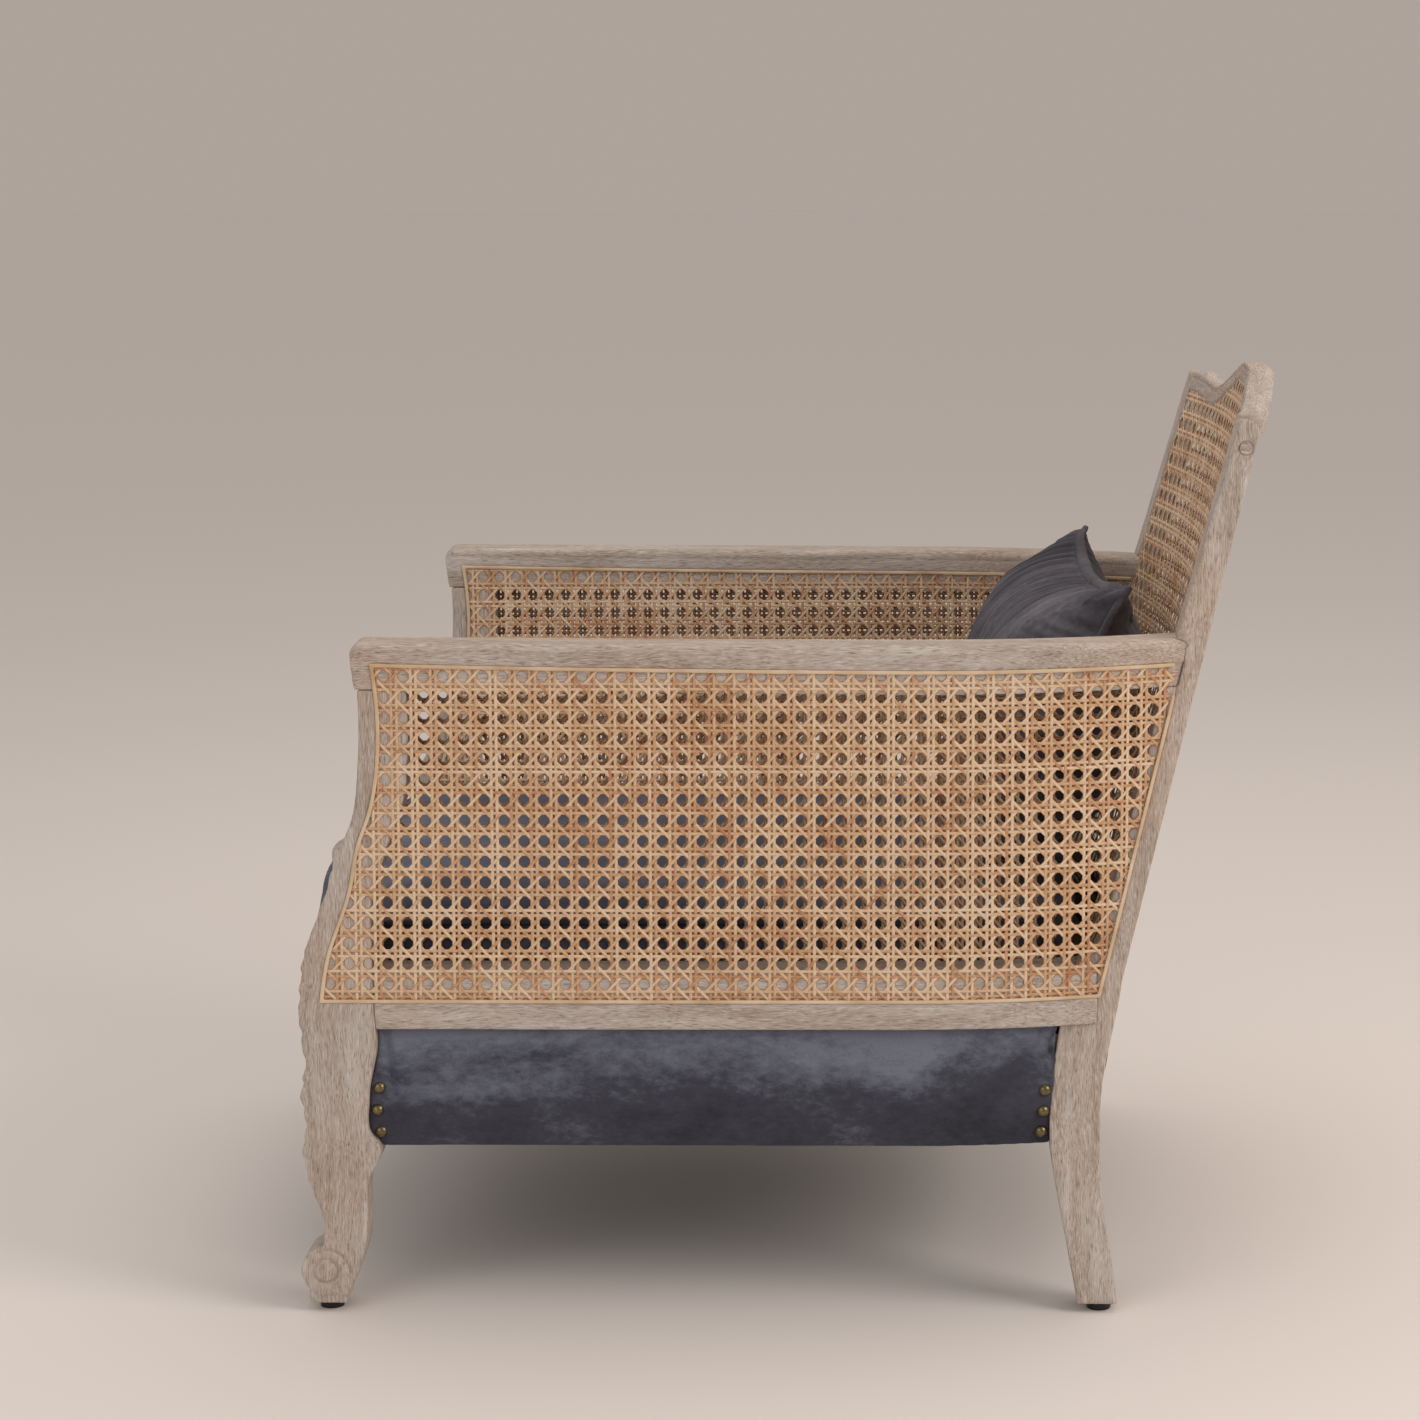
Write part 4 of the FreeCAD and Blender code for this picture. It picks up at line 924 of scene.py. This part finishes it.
def pulledDown(co):
    # The cloth dips at each nail
    push = np.zeros(len(co))
    for spot in nailSpots:
        d = np.linalg.norm(co - spot, axis=1)
        push -= border["nailDip"] * np.exp(-(d / 9.0) ** 2)
    return push


def tackPulls(along, z):
    # Gentle pulls along the tacked bottom edge
    pulls = 0.5 * (1 + np.sin(along / 9.5 + 1.5 * np.sin(along / 31.0)))
    return 0.7 * pulls * (1.0 - smoothstep(border["low"], border["low"] + 19.0, z))


def shapeSideVelvet(co, no):
    out = co.copy()
    y, z = co[:, 1], co[:, 2]
    flat = np.stack([y, z * 1.8], axis=1)
    face = smoothstep(0.3, 0.8, no[:, 0])
    push = 0.9 * softNoise(flat, 120.0, 21) + 0.35 * softNoise(flat, 38.0, 22)
    # A crease slants down from the front top corner, a softer one at the rear
    crease = np.abs((y - border["creaseFront"]) - 0.11 * (border["top"] - z))
    push -= 4.6 * np.exp(-(crease / 3.4) ** 2) * smoothstep(186, 240, z)
    rearCrease = np.abs((y - border["creaseRear"]) + 0.14 * (border["top"] - z))
    push -= 2.4 * np.exp(-(rearCrease / 4.0) ** 2) * smoothstep(215, 262, z)
    # The cloth falls away at the rear top corner
    push -= 9.0 * smoothstep(682, 702, y) * smoothstep(226, 264, z)
    push -= tackPulls(y, z)
    # Puckers fan out from the nails at both ends
    ends = np.exp(-((y - border["front"]) / 22.0) ** 2) + np.exp(-((y - border["rear"]) / 22.0) ** 2)
    push += 0.8 * ends * np.cos(2 * math.pi * (z - 196.0) / 22.0)
    push = push * face + pulledDown(co) * face
    out += no * push[:, None]
    # It ends at the front face of the rear post
    out[:, 1] = np.minimum(out[:, 1], np.interp(z, [162.0, 264.0, 272.0], [700.4, 704.4, 709.0]))
    return out


def shapeRearVelvet(co, no):
    x, z = co[:, 0], co[:, 2]
    flat = np.stack([x, z * 1.8], axis=1)
    face = smoothstep(0.3, 0.8, no[:, 1])
    push = 0.9 * softNoise(flat, 120.0, 31) + 0.35 * softNoise(flat, 38.0, 32)
    push -= tackPulls(x, z)
    push = push * face + pulledDown(co) * face
    return co + no * push[:, None]


for node, wadding, shape in (
    ("side_velvet_right", "side_wadding_right", shapeSideVelvet),
    ("rear_velvet", "rear_wadding", shapeRearVelvet),
):
    pad = remeshed("padded_" + node, [node, wadding], border["voxel"], 3, velvetBorderLitTop, shape=shape)
    standFor(pad, "slate_velvet", node, wadding)
    if node.endswith("right"):
        other = node.replace("right", "left")
        twin = mirroredCopy(pad, "padded_" + other)
        standFor(twin, "slate_velvet", other, wadding.replace("right", "left"))
print("borders made")


def simulate(obj, pressure, frames, pinned=None, cap=12.0, stiffness=12.0, shrink=0.0):
    # Blows the cover up like a stuffed cushion; no vertex moves further than cap (mm)
    start = readVerts(obj.data)
    if pinned is not None:
        group = obj.vertex_groups.new(name="pin")
        for i in np.nonzero(pinned > 0.02)[0]:
            group.add([int(i)], float(pinned[i]), "REPLACE")
    cloth = obj.modifiers.new("cloth", "CLOTH")
    settings = cloth.settings
    settings.quality = 6
    settings.mass = 0.25
    settings.tension_stiffness = stiffness
    settings.compression_stiffness = stiffness
    settings.shear_stiffness = 4.0
    settings.bending_stiffness = 0.35
    settings.use_pressure = True
    settings.uniform_pressure_force = pressure
    settings.shrink_min = shrink
    settings.effector_weights.gravity = 0.0
    if pinned is not None:
        settings.vertex_group_mass = "pin"
    cloth.collision_settings.use_collision = False
    cloth.point_cache.frame_start = 1
    cloth.point_cache.frame_end = frames
    scene = bpy.context.scene
    for number in range(1, frames + 1):
        scene.frame_set(number)
    mesh = evaluated(obj)
    moved = readVerts(mesh)
    obj.modifiers.clear()
    bpy.data.meshes.remove(mesh)
    scene.frame_set(1)
    step = np.nan_to_num(moved - start)
    length = np.linalg.norm(step, axis=1)
    limit = cap * np.tanh(length / cap) / np.maximum(length, 1e-6)
    print("cloth moved", round(float(length.mean()), 2), "mm on average,",
          round(float(length.max()), 2), "at most")
    writeVerts(obj.data, start + step * limit[:, None])


def subdivided(obj):
    sub = obj.modifiers.new("fine", "SUBSURF")
    sub.levels = 1
    sub.render_levels = 1
    mesh = evaluated(obj)
    obj.modifiers.clear()
    old = obj.data
    mesh.name = old.name
    obj.data = mesh
    bpy.data.meshes.remove(old)
    mesh.polygons.foreach_set("use_smooth", [True] * len(mesh.polygons))


# Seat cushion: box cushion with piping, most of it behind the cane in the photo
cushion = {
    "voxel": 8.0,
    "pressure": 4.0,
    "frames": 18,
    "cap": 4.0,
    "heldNearPiping": 22.0,
    "underside": 276.0,
    "middle": 345.0,
    "gathers": 46.0,
    "frontWear": 4.0,
}
seatNodes = ["seat_cushion_border", "seat_cushion_top", "seat_cushion_bottom", "seat_cushion_core"]
seatPipes = readVerts(nodes["seat_cushion_piping"].data)
seat = remeshed("seat_cushion_cover", seatNodes, cushion["voxel"], 2, velvet, body="seat_cushion")
co = readVerts(seat.data)
pipePoints = seatPipes[:: max(1, len(seatPipes) // 900)]


def nearest(points, targets, chunk=4000):
    best = np.empty(len(points))
    for a in range(0, len(points), chunk):
        part = points[a:a + chunk]
        best[a:a + chunk] = np.sqrt(((part[:, None] - targets[None]) ** 2).sum(2)).min(1)
    return best


def hold(obj, targets, reach):
    return 1.0 - smoothstep(0.35 * reach, reach, nearest(readVerts(obj.data), targets))


pin = hold(seat, pipePoints, cushion["heldNearPiping"])
low = readVerts(seat.data)[:, 2] < cushion["underside"]
pin[low] = 1.0
simulate(seat, cushion["pressure"], cushion["frames"], pin, cushion["cap"])
subdivided(seat)
co = readVerts(seat.data)
no = readNormals(seat.data)
flat = co[:, :2]
topFace = smoothstep(0.4, 0.9, no[:, 2])
edgeFace = 1.0 - smoothstep(0.3, 0.7, np.abs(no[:, 2]))
dent = 1.6 * softNoise(flat, 170.0, 41) + 0.5 * softNoise(flat, 60.0, 42)
# Small gathers run in from the piping on top and down the border
gap = nearest(co, pipePoints)
around = np.arctan2(co[:, 1] - cushion["middle"], co[:, 0])
gathers = np.sin(around * cushion["gathers"] + 2.0 * np.sin(around * 9.0)) * np.exp(-gap / 22.0)
push = topFace * (dent + 0.9 * gathers) + edgeFace * 0.8 * gathers
writeVerts(seat.data, co + no * push[:, None])
seatPiping = remeshed("seat_cushion_welt", ["seat_cushion_piping"], 1.5, 3, velvet,
                      body="seat_cushion")
for obj in (seat, seatPiping):
    # The front edge is worn lower than the middle
    co = readVerts(obj.data)
    nearFront = 1.0 - smoothstep(-20.0, 170.0, co[:, 1])
    co[:, 2] -= cushion["frontWear"] * nearFront * smoothstep(320.0, 365.0, co[:, 2])
    writeVerts(obj.data, co)
standFor(seat, "slate_velvet", *seatNodes)
standFor(seatPiping, "slate_velvet", "seat_cushion_piping")
print("seat cushion made", triangles(seat))

# Scatter cushion: gathered into wide piping, with dog-ear corners
pillow = {
    "voxel": 4.6,
    "pressure": 4.0,
    "frames": 18,
    "cap": 10.0,
    "heldNearPiping": 16.0,
    "tilt": math.radians(70.0),
    "yaw": math.radians(2.2),
    "shift": 7.0,
    "halfWidth": 237.0,
    "halfHeight": 153.0,
    "pleatDepth": 2.9,
    "slack": 1.7,
    "cornerPinch": 0.42,
    "earRise": 0.012,
    "seamSag": 0.075,
    "earLean": 8.0,
    "pipingSwell": 1.7,
}
pillowNodes = ["scatter_cushion_front", "scatter_cushion_back", "scatter_cushion_fill"]
pipes = readVerts(nodes["scatter_cushion_piping"].data)
centre = (pipes.max(0) + pipes.min(0)) / 2.0
sn, cs = math.sin(pillow["tilt"]), math.cos(pillow["tilt"])
axisU = np.array([1.0, 0.0, 0.0])
axisV = np.array([0.0, cs, sn])
axisN = np.array([0.0, -sn, cs])


def toPillow(points):
    off = points - centre
    return np.stack([off @ axisU, off @ axisV, off @ axisN], axis=1)


def fromPillow(local):
    return centre + local[:, :1] * axisU + local[:, 1:2] * axisV + local[:, 2:3] * axisN


scatter = remeshed("scatter_cushion_cover", pillowNodes, pillow["voxel"], 2, velvetPillow,
                   body="scatter_cushion")
pipePick = pipes[:: max(1, len(pipes) // 700)]
pin = hold(scatter, pipePick, pillow["heldNearPiping"])
simulate(scatter, pillow["pressure"], pillow["frames"], pin, pillow["cap"])
subdivided(scatter)
co = readVerts(scatter.data)
no = readNormals(scatter.data)
local = toPillow(co)
halfU, halfV = pillow["halfWidth"], pillow["halfHeight"]
edgeU, edgeV = halfU - np.abs(local[:, 0]), halfV - np.abs(local[:, 1])
# Pleats stand square to the nearest seam and fade towards the middle
ridgeU = np.sin(local[:, 1] / 2.9 + 1.9 * np.sin(local[:, 1] / 13.0))
pleatU = ridgeU * np.exp(-np.clip(edgeU, 0, None) / 42.0)
sway = local[:, 0] + 0.10 * edgeV * np.sin(local[:, 0] / 61.0 + 1.0)
ridgeV = np.sin(sway / 4.1 + 2.1 * np.sin(sway / 27.0))
ridgeV = ridgeV + 0.45 * np.sin(sway / 2.3 + 1.4 * np.sin(sway / 15.0))
pleatV = ridgeV * np.exp(-np.clip(edgeV, 0, None) / 88.0)
nearSeam = smoothstep(2.0, 14.0, np.abs(local[:, 2]))
along = np.where(edgeU < edgeV, pleatU, pleatV)
slack = softNoise(np.stack([local[:, 0], local[:, 1] * 0.5], 1), 52.0, 51)
slack = pillow["slack"] * slack * smoothstep(10, 60, np.minimum(edgeU, edgeV))
push = nearSeam * (pillow["pleatDepth"] * along + slack)
writeVerts(scatter.data, co + no * push[:, None])
scatterPiping = remeshed("scatter_cushion_welt", ["scatter_cushion_piping"], 1.6, 4,
                         velvetPillow, body="scatter_cushion")
for obj, swell in ((scatter, 0.0), (scatterPiping, pillow["pipingSwell"])):
    # Seams sag between the corners, which stand out and lean back as dog ears
    co = readVerts(obj.data) + readNormals(obj.data) * swell
    local = toPillow(co)
    u, v = local[:, 0] / halfU, local[:, 1] / halfV
    corner = np.clip(np.abs(u * v), 0, 1)
    local[:, 2] *= 1.0 - pillow["cornerPinch"] * smoothstep(0.30, 0.85, corner)
    if obj is scatterPiping:
        local[:, :2] *= (1.0 - 0.045 * smoothstep(0.78, 1.0, corner))[:, None]
    rise = pillow["earRise"] * np.abs(u) ** 6 - pillow["seamSag"] * (1.0 - np.clip(u, -1, 1) ** 2)
    local[:, 1] += halfV * np.sign(v) * v ** 2 * rise
    local[:, 0] -= halfU * np.sign(u) * u ** 2 * 0.03 * (1.0 - np.clip(v, -1, 1) ** 2)
    local[:, 2] -= pillow["earLean"] * np.abs(u) ** 6 * np.clip(v, 0, 1) ** 5
    cosY, sinY = math.cos(pillow["yaw"]), math.sin(pillow["yaw"])
    co = fromPillow(local)
    flatX, flatY = co[:, 0] - centre[0], co[:, 1] - centre[1]
    co[:, 0] = centre[0] + flatX * cosY - flatY * sinY
    co[:, 1] = centre[1] + flatX * sinY + flatY * cosY - pillow["shift"]
    writeVerts(obj.data, co)
standFor(scatter, "slate_velvet", *pillowNodes)
standFor(scatterPiping, "slate_velvet", "scatter_cushion_piping")
print("scatter cushion made")


# Seat deck

def straps(name, node, along):
    # Woven straps laid as thin flat slabs, one for each CAD strap
    co = readVerts(nodes[node].data)
    across = 0 if along == 1 else 1
    centres = []
    for value in np.sort(co[:, across]):
        if not centres or value - centres[-1][1] > 30.0:
            centres.append([value, value])
        centres[-1][1] = value
    z0, z1 = co[:, 2].min() + 0.1, co[:, 2].max() - 0.1
    verts, faces = [], []
    for lo, hi in centres:
        mine = co[(co[:, across] >= lo - 0.1) & (co[:, across] <= hi + 0.1)]
        a0, a1 = mine[:, along].min(), mine[:, along].max()
        rows, cols = 80, 12
        base = len(verts)
        for z in (z0, z1):
            for i in range(rows + 1):
                for j in range(cols + 1):
                    p = [0.0, 0.0, 0.0]
                    p[along] = a0 + (a1 - a0) * i / rows
                    p[across] = lo + (hi - lo) * j / cols
                    p[2] = z
                    verts.append(p)
        size = (rows + 1) * (cols + 1)
        for skin in (0, 1):
            for i in range(rows):
                for j in range(cols):
                    a = base + skin * size + i * (cols + 1) + j
                    quad = (a, a + 1, a + cols + 2, a + cols + 1)
                    faces.append(quad if (skin == 1) == (along == 1) else quad[::-1])
        rim = [i * (cols + 1) for i in range(rows + 1)]
        rim += [rows * (cols + 1) + j for j in range(1, cols + 1)]
        rim += [i * (cols + 1) + cols for i in range(rows - 1, -1, -1)] + list(range(cols - 1, 0, -1))
        for k in range(len(rim)):
            a, b = rim[k], rim[(k + 1) % len(rim)]
            faces.append((base + a, base + b, base + size + b, base + size + a))
    obj = meshObject(name, verts, faces, jute, smooth=False)
    standFor(obj, "jute_webbing", node)


straps("jute_straps_long", "webbing_long", 1)
straps("jute_straps_cross", "webbing_cross", 0)


def flatGrid(node, thickness, sag, name):
    # A thin closed sheet with the CAD sheet's outline, cut as a grid that follows its edges
    step = 12.0
    mesh = nodes[node].data
    co = readVerts(mesh)
    z0 = co[:, 2].min()
    y0, y1 = co[:, 1].min(), co[:, 1].max()
    low = np.abs(co[:, 2] - z0) < 0.05
    segments = []
    for polygon in mesh.polygons:
        ids = list(polygon.vertices)
        for a, b in zip(ids, ids[1:] + ids[:1]):
            if low[a] and low[b]:
                segments.append((co[a][:2], co[b][:2]))
    segments = np.array(segments)

    def crossings(x):
        # Lowest and highest y of the outline at x
        a, b = segments[:, 0], segments[:, 1]
        hit = (np.minimum(a[:, 0], b[:, 0]) <= x) & (np.maximum(a[:, 0], b[:, 0]) > x)
        a, b = a[hit], b[hit]
        if not len(a):
            return None
        ys = a[:, 1] + (b[:, 1] - a[:, 1]) * (x - a[:, 0]) / (b[:, 0] - a[:, 0])
        return ys.min(), ys.max()

    half = co[:, 0].max() - 0.4
    cols = int(2 * half / step)
    rows = int((y1 - y0) / step)
    verts = []
    for i in range(cols + 1):
        x = -half + 2 * half * i / cols
        span = crossings(x) or (y0, y1)
        for j in range(rows + 1):
            verts.append((x, span[0] + (span[1] - span[0]) * j / rows, 0.0))
    top = np.array(verts)
    u = top[:, 0] / half
    v = (top[:, 1] - y0) / (y1 - y0)
    drop = sag * (1 - u ** 4) * (1 - (2 * v - 1) ** 4)
    top[:, 2] = z0 + thickness - drop
    under = top.copy()
    under[:, 2] -= thickness
    faces = []
    n = len(top)
    for i in range(cols):
        for j in range(rows):
            a = i * (rows + 1) + j
            quad = (a, a + rows + 1, a + rows + 2, a + 1)
            faces.append(quad)
            faces.append(tuple(n + q for q in reversed(quad)))
    rim = list(range(rows + 1)) + [i * (rows + 1) + rows for i in range(1, cols + 1)]
    rim += [cols * (rows + 1) + j for j in range(rows - 1, -1, -1)]
    rim += [i * (rows + 1) for i in range(cols - 1, 0, -1)]
    for k in range(len(rim)):
        a, b = rim[k], rim[(k + 1) % len(rim)]
        faces.append((a, b, n + b, n + a))
    obj = meshObject(name, np.vstack([top, under]), faces, cambric)
    standFor(obj, "black_cambric", node)
    area = 0.0
    for i in range(cols):
        for j in range(rows):
            a = i * (rows + 1) + j
            w = top[a + rows + 1, 0] - top[a, 0]
            h = 0.5 * (top[a + 1, 1] - top[a, 1] + top[a + rows + 2, 1] - top[a + rows + 1, 1])
            area += w * h
    wide, long = 2 * half * mm, (y1 - y0) * mm
    return obj, wide, long, area * mm * mm


dust, wide, long, area = flatGrid("dust_cover", 1.0, 1.5, "cambric_dust_cover")
print("dust cover", round(wide, 4), round(long, 4), round(area, 4))
deck, wide, long, area = flatGrid("deck_cloth", 1.4, 0.0, "cambric_deck_cloth")
print("deck cloth", round(wide, 4), round(long, 4), round(area, 4))
deckPad = remeshed("felt_deck_pad", ["deck_pad"], 3.0, 1, felt, keepLight=0.8)
standFor(deckPad, "wadding", "deck_pad")
print("deck made")


# Finishes of the CAD pieces that stay

finishOf = {
    "corner_blocks": hardwood,
    "side_seat_rail_right": hardwood,
    "side_seat_rail_left": hardwood,
    "rear_seat_rail": hardwood,
    "joint_dowels": hardwood,
    "crest_pegs": woodLong,
    "side_nails": brass,
    "rear_nails": brass,
    "corner_block_screws": steel,
    "floor_glides": nylon,
}
for node, material in finishOf.items():
    mesh = nodes[node].data
    mesh.materials.clear()
    mesh.materials.append(material)

# Floor, light, camera

floorMesh = bpy.data.meshes.new("studio_floor")
floorMesh.from_pydata([(-30, -30, 0), (30, -30, 0), (30, 30, 0), (-30, 30, 0)], [], [(0, 1, 2, 3)])
floor = bpy.data.objects.new("studio_floor", floorMesh)
bpy.context.scene.collection.objects.link(floor)
floorMesh.materials.append(plainFinish("studio_floor_pale", "#ebe4df", 0.85))

world = bpy.data.worlds.new("studio")
bpy.context.scene.world = world
world.use_nodes = True
tree = world.node_tree
tree.nodes.clear()
ray = tree.nodes.new("ShaderNodeLightPath").outputs
highest = {"operation": "MAXIMUM"}
seen = add(tree, "Math", {0: ray["Is Camera Ray"], 1: ray["Is Transmission Ray"]}, highest)
seen = add(tree, "Math", {0: seen, 1: ray["Is Glossy Ray"]}, highest)
lightSide = add(tree, "Background", {"Color": srgb("#f3ece6"), "Strength": 0.56})
seenSide = add(tree, "Background", {"Color": srgb("#aea39b"), "Strength": 1.0})
both = add(tree, "MixShader", {0: seen, 1: lightSide, 2: seenSide})
connect(tree, tree.nodes.new("ShaderNodeOutputWorld"), {"Surface": both})


def areaLight(name, place, target, size, power, colour):
    data = bpy.data.lights.new(name, "AREA")
    data.shape = "RECTANGLE"
    data.size, data.size_y = size
    data.energy = power
    data.color = srgb(colour)[:3]
    lamp = bpy.data.objects.new(name, data)
    lamp.location = place
    lamp.rotation_euler = (Vector(target) - Vector(place)).to_track_quat("-Z", "Y").to_euler()
    bpy.context.scene.collection.objects.link(lamp)
    return lamp


areaLight("key", (1.6, 3.2, 2.3), (0, 0, 0.4), (1.8, 1.8), 60.0, "#fff6ee")
areaLight("fill", (3.2, -2.2, 1.9), (0, 0, 0.4), (2.6, 2.2), 26.0, "#f3f3f6")
areaLight("above", (-0.3, 0.2, 3.2), (0, 0, 0.4), (2.4, 2.4), 22.0, "#fff8f2")

# The photo's camera: place from the front of the feet in metres, turns in radians
view = {
    "place": (3.425, 0.5710, 1.130),
    "turns": (0.0297, 0.1256, -0.0064),
    "lens": 86.87,
    "shift": (-0.07, -0.13),
}
camData = bpy.data.cameras.new("photo_view")
camData.sensor_width = 36.0
camData.lens = view["lens"]
camData.shift_x, camData.shift_y = view["shift"]
camera = bpy.data.objects.new("photo_view", camData)
yaw, pitch, roll = view["turns"]
look = Vector((-math.cos(pitch) * math.cos(yaw), -math.cos(pitch) * math.sin(yaw), -math.sin(pitch)))
rightWay = look.cross(Vector((0, 0, 1))).normalized()
upWay = rightWay.cross(look)
rightWay, upWay = (rightWay * math.cos(roll) + upWay * math.sin(roll),
                   upWay * math.cos(roll) - rightWay * math.sin(roll))
turn = Matrix((rightWay, upWay, -look)).transposed().to_4x4()
camX, camY, camZ = view["place"]
camera.matrix_world = Matrix.Translation(Vector((camX, camY + frontY * mm, camZ))) @ turn
bpy.context.scene.collection.objects.link(camera)
bpy.context.scene.camera = camera
bpy.context.scene.view_settings.view_transform = "Standard"
print("scene set")
